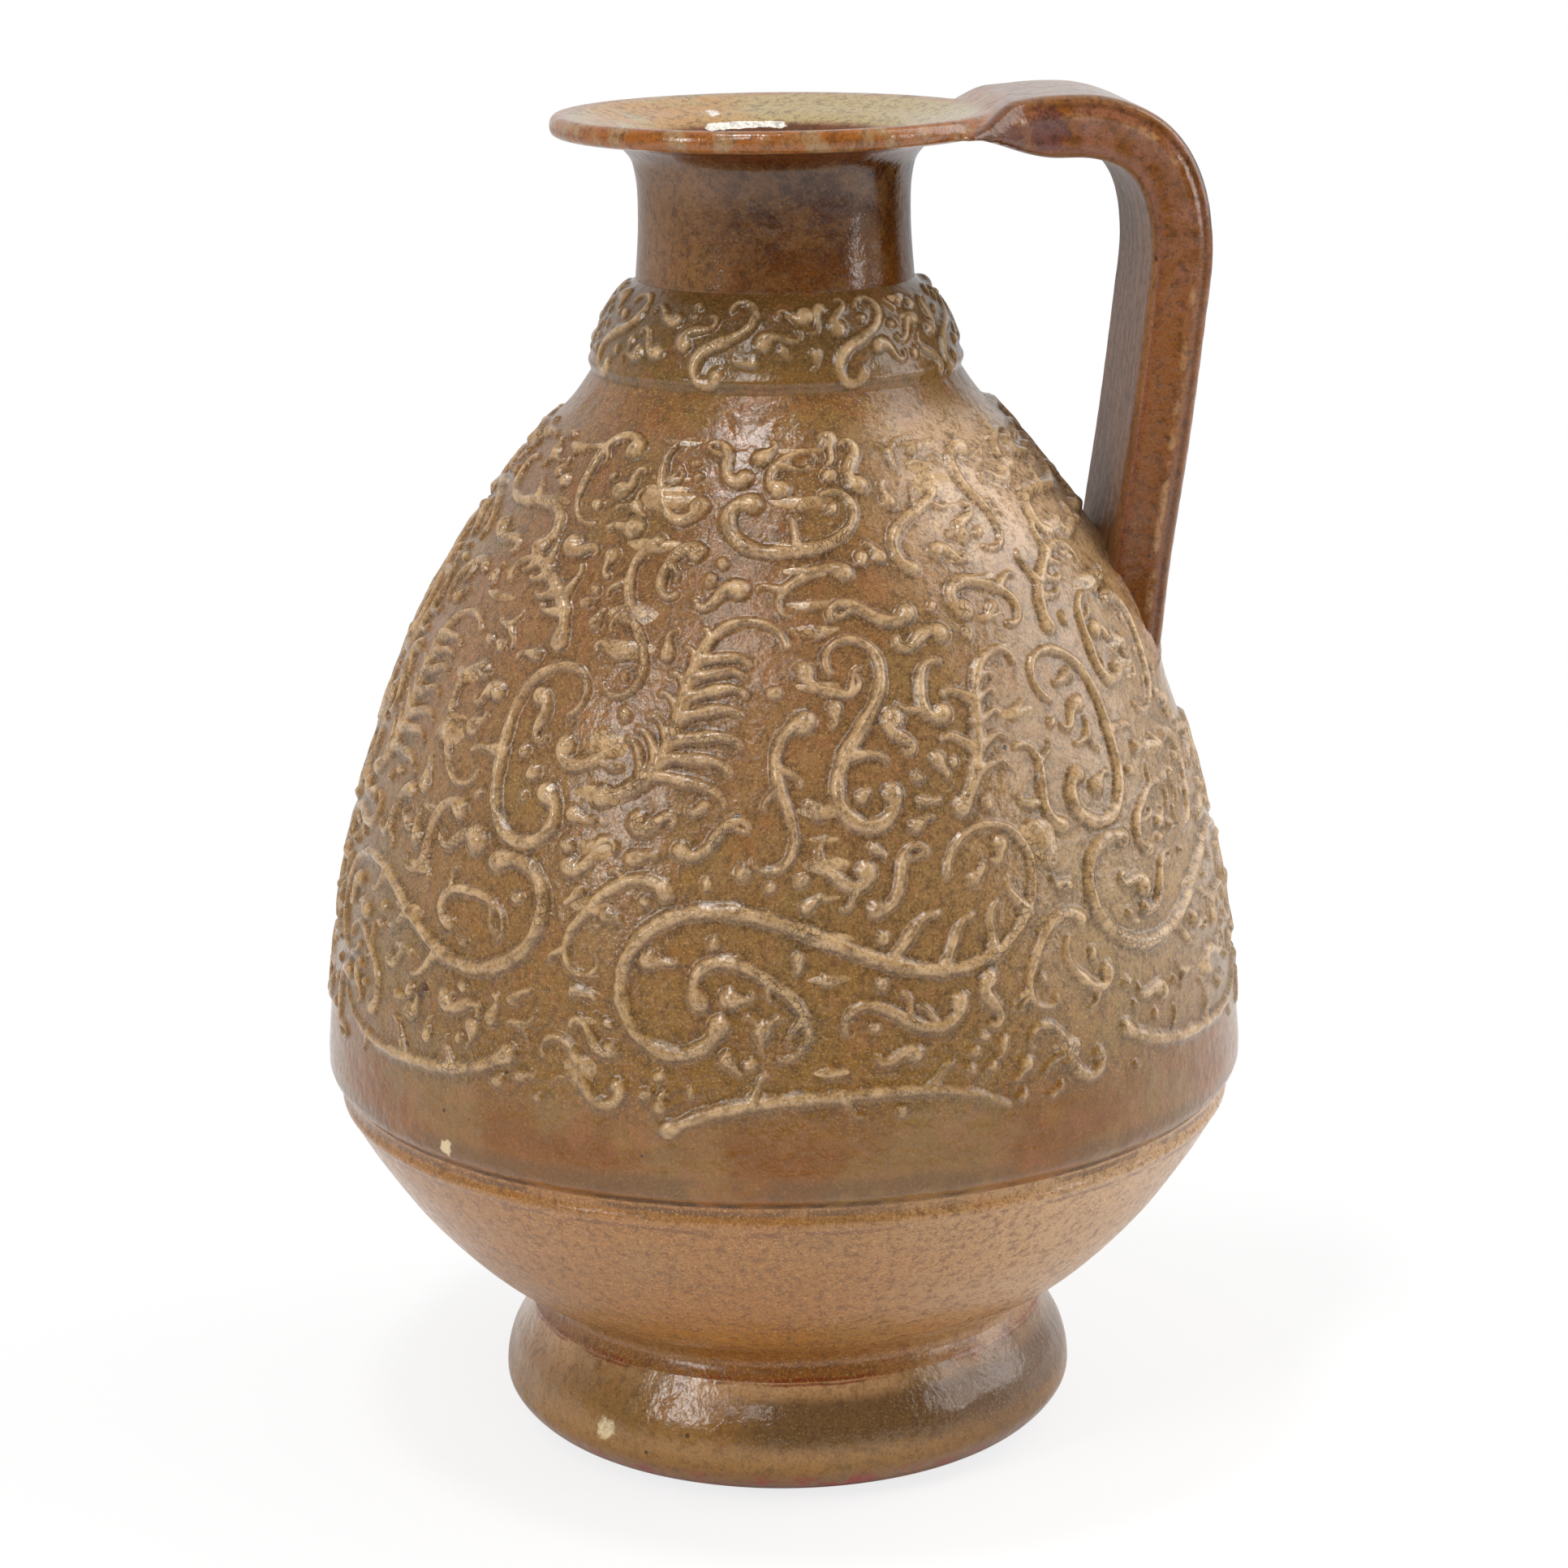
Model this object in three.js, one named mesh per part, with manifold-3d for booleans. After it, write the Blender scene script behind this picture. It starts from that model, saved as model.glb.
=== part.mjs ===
// A salt-glazed stoneware jug: a turned foot, a thrown bowl and body, a collar, a neck,
// a wide flat rim, a strap handle, and ornament trailed on the wall in liquid slip.
// Millimetres, +Z up. The origin is the middle of the foot on the table, the handle is at +X.
import * as THREE from "three";
import { mergeVertices } from "three/addons/utils/BufferGeometryUtils.js";
import Module from "manifold-3d";

const wasm = await Module();
wasm.setup();

// Heights of the joints between the thrown sections
const FOOT_TOP = 26.8;
const SEAM = 81;
const COLLAR_BOTTOM = 235;
const COLLAR_TOP = 254.5;
const NECK_TOP = 279.6;
const RIM_TOP = 289.3;

// Radii that set the outline
const STANDING_RADIUS = 50;
const FOOT_RADIUS = 63.1;
const WAIST_RADIUS = 55;
const BODY_RADIUS = 100.2;
const COLLAR_RADIUS = 39.2;
const NECK_RADIUS = 28.8;
const RIM_RADIUS = 47.2;

// Thickness of the clay
const WALL = 6;
const NECK_WALL = 4.6;
const FLOOR = 10;
const GAP = 0.3;

// Strap handle
const STRAP_WIDTH = 43;
const STRAP_THICKNESS = 12.8;
const STRAP_CROWN = 1;
const STRAP_TOP = 293.6;
const STRAP_REACH = 91;
const STRAP_FAN = 13;

// Slip trails
const BEAD_WIDTH = 2.9;
const BEAD_HEIGHT = 1.1;
const BEAD_LIFT = 0.42;
const FRIEZE_BOTTOM = 99;
const PANELS = 6;

// Facets round the axis
const FACETS = 40;

const glaze = (color, roughness = 0.32) =>
  new THREE.MeshStandardMaterial({ color, roughness, metalness: 0 });

const materials = {
  foot: glaze(0x8d7355),
  bowl: glaze(0xb98d63),
  body: glaze(0x9c7a50),
  collar: glaze(0x8e7650),
  neck: glaze(0x7c5238),
  rim: glaze(0xb87a4c),
  handle: glaze(0x9a5c31),
  slip: glaze(0xc9ad83, 0.28),
};

// A smooth outline through a few points, as [radius, height] pairs.
function outline(points, steps) {
  const curve = new THREE.SplineCurve(points.map(([r, z]) => new THREE.Vector2(r, z)));
  return curve.getPoints(steps);
}

// The inside of a wall, at the same heights as its outside and equally thick all along.
function inside(outer, wall) {
  return outer.map((p, i) => {
    const a = outer[Math.max(i - 1, 0)];
    const b = outer[Math.min(i + 1, outer.length - 1)];
    const slope = (b.x - a.x) / Math.max(b.y - a.y, 0.5);
    return new THREE.Vector2(p.x - wall * Math.hypot(1, Math.min(Math.abs(slope), 2)), p.y);
  });
}

// A solid of revolution. The profile runs up the outside and down the inside.
function turned(profile) {
  const points = profile.map((p) => new THREE.Vector2(Math.max(p.x, 0), p.y));
  if (points[0].x > 0) points.push(points[0].clone());
  const geometry = new THREE.LatheGeometry(points, FACETS);
  geometry.rotateX(Math.PI / 2);
  return fromSolid(toSolid(geometry));
}

function toSolid(geometry) {
  const bare = geometry.clone();
  bare.deleteAttribute("normal");
  bare.deleteAttribute("uv");
  const merged = mergeVertices(bare, 1e-4);
  const index = Array.from(merged.index.array);
  const kept = [];
  for (let i = 0; i < index.length; i += 3) {
    const [a, b, c] = index.slice(i, i + 3);
    if (a !== b && b !== c && c !== a) kept.push(a, b, c);
  }
  const solid = new wasm.Manifold(
    new wasm.Mesh({
      numProp: 3,
      vertProperties: merged.attributes.position.array,
      triVerts: new Uint32Array(kept),
    }),
  );
  return solid;
}

function fromSolid(solid) {
  const made = solid.getMesh();
  const geometry = new THREE.BufferGeometry();
  geometry.setAttribute("position", new THREE.BufferAttribute(made.vertProperties, 3));
  geometry.setIndex(new THREE.BufferAttribute(made.triVerts, 1));
  geometry.computeVertexNormals();
  return geometry;
}

const jug = new THREE.Group();

function add(name, geometry, material) {
  const mesh = new THREE.Mesh(geometry, material.clone());
  mesh.name = name;
  jug.add(mesh);
  return mesh;
}

// Foot: a rolled ring, luted under the bowl
const footOuter = outline(
  [
    [STANDING_RADIUS, 0],
    [FOOT_RADIUS - 5.2, 3.2],
    [FOOT_RADIUS - 0.6, 8],
    [FOOT_RADIUS, 12.5],
    [FOOT_RADIUS - 1.3, 18],
    [FOOT_RADIUS - 4.1, 23],
    [WAIST_RADIUS + 2, FOOT_TOP],
  ],
  8,
);
const footInner = [
  new THREE.Vector2(STANDING_RADIUS - 1.5, FOOT_TOP),
  new THREE.Vector2(STANDING_RADIUS - 7, 0),
];
add("foot_ring", turned([...footOuter, ...footInner]), materials.foot);

// Bowl: the lower half, thrown as an open dish with its floor
const bowlOuter = outline(
  [
    [WAIST_RADIUS + 2, FOOT_TOP],
    [WAIST_RADIUS, 30],
    [57.5, 33.8],
    [64.5, 37.2],
    [73, 44.2],
    [83, 55],
    [91.5, 67],
    [96, 74.4],
  ],
  14,
);
const bowlRidge = [
  [97.7, 77.2],
  [97.7, 78.2],
  [97.2, SEAM],
].map(([r, z]) => new THREE.Vector2(r, z));
const bowlInner = outline(
  [
    [97.2 - WALL * 1.1, SEAM],
    [85.5, 68],
    [76, 56.5],
    [62, 47],
    [40, FOOT_TOP + FLOOR + 4],
    [0, FOOT_TOP + FLOOR + 1.5],
  ],
  6,
);
const bowlFloor = [new THREE.Vector2(0, FOOT_TOP + 1.5), new THREE.Vector2(44, FOOT_TOP + 1.5)];
add(
  "lower_bowl",
  turned([...bowlFloor, new THREE.Vector2(45, FOOT_TOP), ...bowlOuter, ...bowlRidge, ...bowlInner]),
  materials.bowl,
);

// Body: thrown upside down, set on the bowl, with a lip over the joint
const bodyLip = [
  [97.2, SEAM],
  [98.9, 83],
  [BODY_RADIUS + 0.1, 85.2],
].map(([r, z]) => new THREE.Vector2(r, z));
const bodyOuter = outline(
  [
    [BODY_RADIUS, 89],
    [98.7, 105],
    [95.5, 125],
    [90.8, 145],
    [84.3, 165],
    [75.9, 185],
    [64.8, 203],
    [51.3, 221],
    [43.7, 229],
    [COLLAR_RADIUS + 0.2, COLLAR_BOTTOM],
  ],
  16,
);
const bodyWall = [...bodyLip, ...bodyOuter];
const bodyInner = inside(bodyWall, WALL)
  .filter((p, i) => i % 3 === 0 || i === bodyWall.length - 1)
  .reverse();
add("upper_body", turned([...bodyWall, ...bodyInner]), materials.body);

// Collar: a swelling ring that carries a band of trailing
const collarOuter = outline(
  [
    [COLLAR_RADIUS + 0.2, COLLAR_BOTTOM],
    [COLLAR_RADIUS, 238.5],
    [COLLAR_RADIUS - 1.4, 243.4],
    [COLLAR_RADIUS - 3.7, 248.2],
    [COLLAR_RADIUS - 6.5, 252],
    [NECK_RADIUS + 0.7, COLLAR_TOP],
  ],
  7,
);
const bodyMouth = bodyInner[0].x;
const neckBore = NECK_RADIUS - NECK_WALL;
const collarInner = outline(
  [
    [neckBore + 0.6, COLLAR_TOP],
    [neckBore + 3, 246],
    [bodyMouth, COLLAR_BOTTOM],
  ],
  2,
);
add("collar", turned([...collarOuter, ...collarInner]), materials.collar);

// Neck: a slightly waisted cylinder
const neckOuter = outline(
  [
    [NECK_RADIUS + 0.7, COLLAR_TOP],
    [NECK_RADIUS + 0.4, 259],
    [NECK_RADIUS, 266],
    [NECK_RADIUS + 0.1, 274],
    [NECK_RADIUS + 1.1, NECK_TOP],
  ],
  4,
);
const neckInner = outline(
  [
    [neckBore + 1.2, NECK_TOP],
    [neckBore, 269],
    [neckBore + 0.6, COLLAR_TOP],
  ],
  2,
);
add("neck", turned([...neckOuter, ...neckInner]), materials.neck);

// Rim: a flat plate with a rounded edge, dished towards the throat
const rimUnder = outline(
  [
    [NECK_RADIUS + 1.1, NECK_TOP],
    [NECK_RADIUS + 4.7, 283],
    [NECK_RADIUS + 11.2, 284.2],
    [RIM_RADIUS - 1.4, 284.6],
    [RIM_RADIUS - 0.1, 286],
    [RIM_RADIUS - 0.3, 288.1],
    [RIM_RADIUS - 1.5, RIM_TOP],
  ],
  10,
);
const rimDish = outline(
  [
    [RIM_RADIUS - 5, 288.6],
    [37, 286.9],
    [31.4, 285.2],
    [27.6, 282.9],
    [neckBore + 1.2, NECK_TOP],
  ],
  5,
);
const rimProfile = [...rimUnder, ...rimDish];
add("mouth_rim", turned(rimProfile), materials.rim);

// Handle: a flat strap pulled from the rim and pressed on the shoulder
const half = STRAP_THICKNESS / 2;
const strapTop = STRAP_TOP - STRAP_CROWN - half;
const strapSide = STRAP_REACH - STRAP_CROWN - half;
const strapPath = new THREE.CatmullRomCurve3(
  [
    [35, strapTop - 2.4],
    [47, strapTop - 1],
    [59, strapTop],
    [68, strapTop - 0.8],
    [76.4, strapTop - 5],
    [81.7, strapTop - 13.4],
    [strapSide, strapTop - 26],
    [82.2, 245],
    [79.3, 221],
    [75.8, 197],
    [73.6, 180],
    [71.5, 164],
  ].map(([x, z]) => new THREE.Vector3(x, 0, z)),
);
const strapSection = new THREE.Shape();
const corner = 3.2;
strapSection.moveTo(-STRAP_WIDTH / 2 + corner, -half);
strapSection.quadraticCurveTo(0, -half - 2 * STRAP_CROWN, STRAP_WIDTH / 2 - corner, -half);
strapSection.quadraticCurveTo(STRAP_WIDTH / 2, -half, STRAP_WIDTH / 2, -half + corner);
strapSection.lineTo(STRAP_WIDTH / 2, half - corner);
strapSection.quadraticCurveTo(STRAP_WIDTH / 2, half, STRAP_WIDTH / 2 - corner, half);
strapSection.lineTo(-STRAP_WIDTH / 2 + corner, half);
strapSection.quadraticCurveTo(-STRAP_WIDTH / 2, half, -STRAP_WIDTH / 2, half - corner);
strapSection.lineTo(-STRAP_WIDTH / 2, -half + corner);
strapSection.quadraticCurveTo(-STRAP_WIDTH / 2, -half, -STRAP_WIDTH / 2 + corner, -half);
const strap = new THREE.ExtrudeGeometry(strapSection, {
  steps: 24,
  curveSegments: 2,
  extrudePath: strapPath,
});

// The strap spreads where it grips the rim, and its underside stays level there.
const spread = strap.attributes.position;
const fanStart = 54;
const fanEnd = 33;
for (let i = 0; i < spread.count; i++) {
  const t = THREE.MathUtils.smoothstep(fanStart - spread.getX(i), 0, fanStart - fanEnd);
  const widest = 1 + (t * STRAP_FAN) / (STRAP_WIDTH / 2);
  spread.setY(i, spread.getY(i) * widest);
  if (spread.getX(i) < fanStart) spread.setZ(i, Math.max(spread.getZ(i), strapTop - half));
}

// The strap ends on the clay that it is pressed on.
function grown(profile, gap) {
  const count = profile.length;
  return profile.map((p, i) => {
    const a = profile[Math.max(i - 1, 0)];
    const b = profile[Math.min(i + 1, count - 1)];
    const away = new THREE.Vector2(b.y - a.y, a.x - b.x).normalize();
    return new THREE.Vector2(p.x + away.x * gap, p.y + away.y * gap);
  });
}
const core = (z) => new THREE.Vector2(0, z);
const bodyCutter = turned([core(SEAM), ...grown(bodyWall, GAP), core(COLLAR_BOTTOM + GAP)]);
const rimCutter = turned([core(NECK_TOP - GAP), ...grown(rimProfile, GAP), core(NECK_TOP + GAP)]);
const neckCutter = turned([core(COLLAR_TOP), ...grown(neckOuter, GAP), core(NECK_TOP)]);
const strapSolid = toSolid(strap);
const handleSolid = [bodyCutter, rimCutter, neckCutter]
  .map(toSolid)
  .reduce((left, cutter) => left.subtract(cutter), strapSolid);
add("handle_strap", fromSolid(handleSolid), materials.handle);

// The wall that carries the trailing, as lengths along its outline
function meridian(wall, start) {
  const lengths = [0];
  wall.forEach((p, i) => i && lengths.push(lengths[i - 1] + p.distanceTo(wall[i - 1])));
  const first = wall.findIndex((p) => p.y >= start);
  const origin =
    lengths[first] - (wall[first].y - start) * (wall[first].distanceTo(wall[first - 1]) /
      (wall[first].y - wall[first - 1].y));
  return (along) => {
    const l = THREE.MathUtils.clamp(origin + along, 0.01, lengths.at(-1) - 0.01);
    const i = lengths.findIndex((v) => v >= l);
    const t = (l - lengths[i - 1]) / (lengths[i] - lengths[i - 1]);
    const p = wall[i - 1].clone().lerp(wall[i], t);
    const d = wall[i].clone().sub(wall[i - 1]).normalize();
    return { radius: p.x, height: p.y, out: d.y, up: -d.x };
  };
}
const onBody = meridian(bodyWall, FRIEZE_BOTTOM);
const onCollar = meridian(collarOuter, COLLAR_BOTTOM + 0.01);

// A point of the flat design, wrapped on the wall at a height above it
function wrap(surface, centre, x, y, lift) {
  const at = surface(y);
  const angle = centre + x / at.radius;
  const facet = (2 * Math.PI) / FACETS;
  const within = THREE.MathUtils.euclideanModulo(angle, facet) - facet / 2;
  const radius = (at.radius * Math.cos(facet / 2)) / Math.cos(within) + lift * at.out;
  return new THREE.Vector3(
    radius * Math.cos(angle),
    radius * Math.sin(angle),
    at.height + lift * at.up,
  );
}

// A trailed line about its middle point: it runs nearly straight there, and its heading has
// turned by curlIn at the start and by curlOut at the end, so that both ends roll up.
function trail({ x, y, heading, length, curlIn = 0, curlOut = 0, steps = 12 }) {
  const points = [new THREE.Vector2()];
  for (let i = 0; i < steps; i++) {
    const fromMiddle = (2 * (i + 0.5)) / steps - 1;
    const curl = fromMiddle < 0 ? curlIn : curlOut;
    const turned = heading + curl * fromMiddle ** 2;
    const step = new THREE.Vector2(Math.cos(turned), Math.sin(turned));
    points.push(points[i].clone().addScaledVector(step, length / steps));
  }
  const shift = new THREE.Vector2(x, y).sub(points[Math.floor(points.length / 2)]);
  return points.map((p) => p.add(shift));
}

// A bead of slip along a line, highest in the middle and thin at both ends
function bead(surface, centre, line, size = 1) {
  const position = [];
  const index = [];
  const last = line.length - 1;
  line.forEach((p, i) => {
    const ahead = line[Math.min(i + 1, last)];
    const behind = line[Math.max(i - 1, 0)];
    const across = new THREE.Vector2(behind.y - ahead.y, ahead.x - behind.x).normalize();
    const fade = i === 0 || i === last ? 0.45 : 1;
    const side = (BEAD_WIDTH / 2) * size * fade;
    const top = BEAD_LIFT + BEAD_HEIGHT * Math.min(size, 1) * fade;
    const left = wrap(surface, centre, p.x + across.x * side, p.y + across.y * side, BEAD_LIFT);
    const crest = wrap(surface, centre, p.x, p.y, top);
    const right = wrap(surface, centre, p.x - across.x * side, p.y - across.y * side, BEAD_LIFT);
    position.push(...left, ...crest, ...right);
    if (i < last) {
      const a = 3 * i;
      for (const [m, n] of [[0, 1], [1, 2], [2, 0]]) {
        index.push(a + m, a + n, a + 3 + n, a + m, a + 3 + n, a + 3 + m);
      }
    }
  });
  index.push(0, 2, 1, 3 * last, 3 * last + 1, 3 * last + 2);
  const geometry = new THREE.BufferGeometry();
  geometry.setAttribute("position", new THREE.Float32BufferAttribute(position, 3));
  geometry.setIndex(index);
  return geometry;
}

// A motif: a main trail, and ribs that start on it
function motif(main, ribs = []) {
  const spine = trail(main);
  const last = spine.length - 1;
  const lines = ribs.map(({ at, turn, length, bend }) => {
    const i = Math.round(at * last);
    const along = spine[Math.min(i + 1, last)].clone().sub(spine[Math.max(i - 1, 0)]).angle();
    const rib = trail({ x: 0, y: 0, heading: along + turn, length, curlOut: bend, steps: 3 });
    const shift = spine[i].clone().sub(rib[0]);
    return rib.map((p) => p.add(shift));
  });
  return [spine, ...lines];
}

// Ribs in a row, each a little shorter than the one before
const ribRow = (first, last, count, turn, length, bend) =>
  Array.from({ length: count }, (_, i) => ({
    at: first + ((last - first) * i) / (count - 1),
    turn,
    length: length * (1 - 0.12 * i),
    bend,
  }));

// Two panel designs, in millimetres from the middle of the panel and the bottom of the frieze
const leafPanel = {
  leaf_scroll: motif(
    { x: 2, y: 36, heading: -0.42, length: 168, curlIn: 4.8, curlOut: 5.2, steps: 19 },
    ribRow(0.56, 0.76, 4, 1.25, 14, -1.2),
  ),
  feather: motif(
    { x: -26, y: 86, heading: 1.25, length: 62, curlIn: -1.2, curlOut: -2.6, steps: 10 },
    ribRow(0.2, 0.62, 4, -1.0, 17, -1.3),
  ),
  tendril: motif(
    { x: 8, y: 78, heading: 0.95, length: 66, curlIn: 4.2, curlOut: 4.4, steps: 12 },
    [{ at: 0.42, turn: -1.1, length: 9, bend: -1.4 }],
  ),
  sprig: motif(
    { x: 33, y: 80, heading: 1.6, length: 40, curlIn: -0.8, curlOut: -3, steps: 8 },
    ribRow(0.3, 0.55, 2, 1.1, 9, 1.4),
  ),
  crook: motif(
    { x: -2, y: 116, heading: 0.12, length: 50, curlIn: -3.6, curlOut: 3.6, steps: 10 },
    [{ at: 0.5, turn: 1.57, length: 7, bend: 0 }],
  ),
  fringe: motif(
    { x: 2, y: 6, heading: 0.04, length: 72, curlIn: 0.5, curlOut: -0.6, steps: 9 },
    [
      { at: 0.25, turn: 1.1, length: 7, bend: -1 },
      { at: 0.5, turn: -1.1, length: 6, bend: 1 },
      { at: 0.75, turn: 1.1, length: 7, bend: -1 },
    ],
  ),
};
const palmPanel = {
  double_scroll: motif(
    { x: 0, y: 33, heading: 0.5, length: 132, curlIn: -4.2, curlOut: -4.6, steps: 16 },
    ribRow(0.4, 0.6, 3, -1.2, 11, 1.2),
  ),
  palm: motif(
    { x: 18, y: 80, heading: 1.75, length: 56, curlIn: 1, curlOut: 2.4, steps: 9 },
    ribRow(0.18, 0.66, 4, 1.0, 15, 1.3),
  ),
  coil: motif(
    { x: -18, y: 70, heading: 1.5, length: 78, curlIn: -4.4, curlOut: 4.2, steps: 12 },
    [{ at: 0.5, turn: -1.5, length: 9, bend: -1 }],
  ),
  branch: motif(
    { x: -13, y: 107, heading: 0.6, length: 34, curlIn: 1, curlOut: -2.6, steps: 7 },
    ribRow(0.3, 0.6, 2, 1.1, 8, -1.2),
  ),
  hook: motif(
    { x: 6, y: 122, heading: -0.2, length: 44, curlIn: 3, curlOut: 3.4, steps: 9 },
    [{ at: 0.45, turn: 1.3, length: 6, bend: -1 }],
  ),
  hem: motif(
    { x: -4, y: 3, heading: -0.03, length: 64, curlIn: -0.6, curlOut: 0.7, steps: 8 },
    [
      { at: 0.25, turn: 1.2, length: 7, bend: 1 },
      { at: 0.5, turn: 1.2, length: 9, bend: -1 },
      { at: 0.75, turn: -1.2, length: 5, bend: 1 },
    ],
  ),
};

// The trailer leaves the wall bare where the strap is pressed on.
const handleClear = STRAP_WIDTH / 2 + 5;
const rootBottom = 153;
const rootTop = 203;

function underHandle(centre, lines) {
  return lines.flat().some((p) => {
    const at = wrap(onBody, centre, p.x, p.y, 0);
    return at.x > 0 && Math.abs(at.y) < handleClear && at.z > rootBottom && at.z < rootTop;
  });
}

function slip(name, surface, centre, lines) {
  const beads = lines.map((line) => toSolid(bead(surface, centre, line)));
  add(name, fromSolid(beads.reduce((sum, one) => sum.add(one))), materials.slip);
}

const panelAngle = (2 * Math.PI) / PANELS;
for (let panel = 0; panel < PANELS; panel++) {
  const centre = (panel + 0.5) * panelAngle;
  const mirror = panel % 4 > 1 ? -1 : 1;
  for (const [kind, lines] of Object.entries(panel % 2 ? palmPanel : leafPanel)) {
    const placed = lines.map((line) => line.map((p) => new THREE.Vector2(mirror * p.x, p.y)));
    if (!underHandle(centre, placed)) slip(`slip_${kind}_${panel + 1}`, onBody, centre, placed);
  }
}

// Border scrolls, in the gaps between the feet of the panels
const borderScroll = motif(
  { x: 0, y: 9, heading: 1.9, length: 30, curlIn: 3.4, curlOut: 3.4, steps: 7 },
  [{ at: 0.5, turn: 1.6, length: 7, bend: 0.8 }],
);
for (let i = 0; i < PANELS; i++) {
  slip(`slip_border_scroll_${i + 1}`, onBody, i * panelAngle, borderScroll);
}

// Collar band: running scrolls
const COLLAR_SCROLLS = 8;
const collarScroll = motif({
  x: 0, y: 11, heading: 0.4, length: 34, curlIn: 4.2, curlOut: 4.2, steps: 10,
});
for (let i = 0; i < COLLAR_SCROLLS; i++) {
  const centre = ((i + 0.5) * 2 * Math.PI) / COLLAR_SCROLLS;
  slip(`slip_collar_scroll_${i + 1}`, onCollar, centre, collarScroll);
}

export default jug;
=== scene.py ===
# %% [markdown]
# # A stoneware jug with slip-trailed ornament
# A potter throws this jug in sections: a foot, a bowl, a body, a collar, a neck and a rim. A strap
# handle is pulled and pressed on, and scrollwork is trailed over the wall in liquid slip before the
# glaze firing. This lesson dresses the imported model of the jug: it spins the sections smooth, melts
# the handle into the rim, raises the slip trails from the wall and mixes the glazes.

# %% Load the frame
import math
import random

import bpy
import numpy as np
from mathutils import Matrix, Vector


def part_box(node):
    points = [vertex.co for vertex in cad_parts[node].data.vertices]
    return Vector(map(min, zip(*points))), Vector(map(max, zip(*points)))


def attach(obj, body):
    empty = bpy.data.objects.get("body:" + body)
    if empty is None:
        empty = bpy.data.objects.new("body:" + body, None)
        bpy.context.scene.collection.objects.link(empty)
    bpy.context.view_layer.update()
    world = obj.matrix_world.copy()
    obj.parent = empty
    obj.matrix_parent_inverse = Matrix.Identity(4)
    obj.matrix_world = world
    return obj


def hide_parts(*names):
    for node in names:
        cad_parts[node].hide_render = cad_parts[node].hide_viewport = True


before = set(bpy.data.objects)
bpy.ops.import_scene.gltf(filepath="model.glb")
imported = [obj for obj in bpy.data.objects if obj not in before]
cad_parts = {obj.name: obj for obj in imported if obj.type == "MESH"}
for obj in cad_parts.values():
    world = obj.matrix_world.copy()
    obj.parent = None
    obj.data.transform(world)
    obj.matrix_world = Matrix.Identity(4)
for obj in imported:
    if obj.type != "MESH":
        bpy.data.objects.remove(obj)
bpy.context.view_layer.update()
MM = 0.001

# %% [markdown]
# ## Driving sizes
# The heights where the sections meet are read from the frame, so the scene can't drift away from
# the construction. The other sizes repeat the potter's measures, in millimetres.

# %% Heights from the frame, radii in millimetres
def top_of(node):
    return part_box(node)[1].z / MM


FOOT_TOP = top_of("foot_ring")
SEAM = top_of("lower_bowl")
COLLAR_BOTTOM = top_of("upper_body")
COLLAR_TOP = top_of("collar")
NECK_TOP = top_of("neck")
RIM_TOP = top_of("mouth_rim")
STANDING_RADIUS = 50
FOOT_RADIUS = 63.1
WAIST_RADIUS = 55
BODY_RADIUS = 100.2
COLLAR_RADIUS = 39.2
NECK_RADIUS = 28.8
RIM_RADIUS = 47.1
WALL = 6
NECK_WALL = 4.6
FLOOR = 10
SPIN_STEPS = 288
MERGE_DISTANCE = 0.02
EDGE_ANGLE = math.radians(40)
joints = (FOOT_TOP, SEAM, COLLAR_BOTTOM, COLLAR_TOP, NECK_TOP, RIM_TOP)
print("joints at", [round(z, 1) for z in joints])

# %% [markdown]
# ## Outlines
# A thrown section is known by its outline. A few points carry it, and a smooth curve runs through
# them. The same kind of curve drives the construction, so both outlines agree.

# %% A smooth outline through a few points
def outline(points, steps):
    points = np.array(points, float)
    last = len(points) - 1
    made = []
    for t in np.linspace(0, last, steps + 1):
        i = min(int(t), last - 1)
        w = t - i
        p0, p1, p2, p3 = (points[min(max(i + k, 0), last)] for k in (-1, 0, 1, 2))
        v0 = (p2 - p0) / 2
        v1 = (p3 - p1) / 2
        cubed = (2 * p1 - 2 * p2 + v0 + v1) * w**3
        squared = (3 * p2 - 3 * p1 - 2 * v0 - v1) * w**2
        made.append(cubed + squared + v0 * w + p1)
    return np.array(made)


def lengths_along(line):
    return np.concatenate([[0], np.cumsum(np.hypot(*np.diff(line, axis=0).T))])


def inner_wall(outer, wall):
    slope = np.gradient(outer[:, 0]) / np.maximum(np.gradient(outer[:, 1]), 0.05)
    thick = wall * np.hypot(1, np.clip(slope, -2, 2))
    return np.column_stack([outer[:, 0] - thick, outer[:, 1]])


# %% [markdown]
# ## Spinning a section
# A potter's wheel is a spin. The outline is drawn as a chain of edges by extruding one vertex from
# point to point, and the Spin operator turns it once round the axis. Merging the doubles closes the
# seam and the poles, and the normals are then made to face out.

# %% Draw an outline and spin it
def deselect():
    bpy.ops.object.select_all(action="DESELECT")


def edit_mode(select="SELECT"):
    bpy.ops.object.mode_set(mode="EDIT")
    bpy.ops.mesh.select_all(action=select)


def object_mode():
    bpy.ops.object.mode_set(mode="OBJECT")


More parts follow.
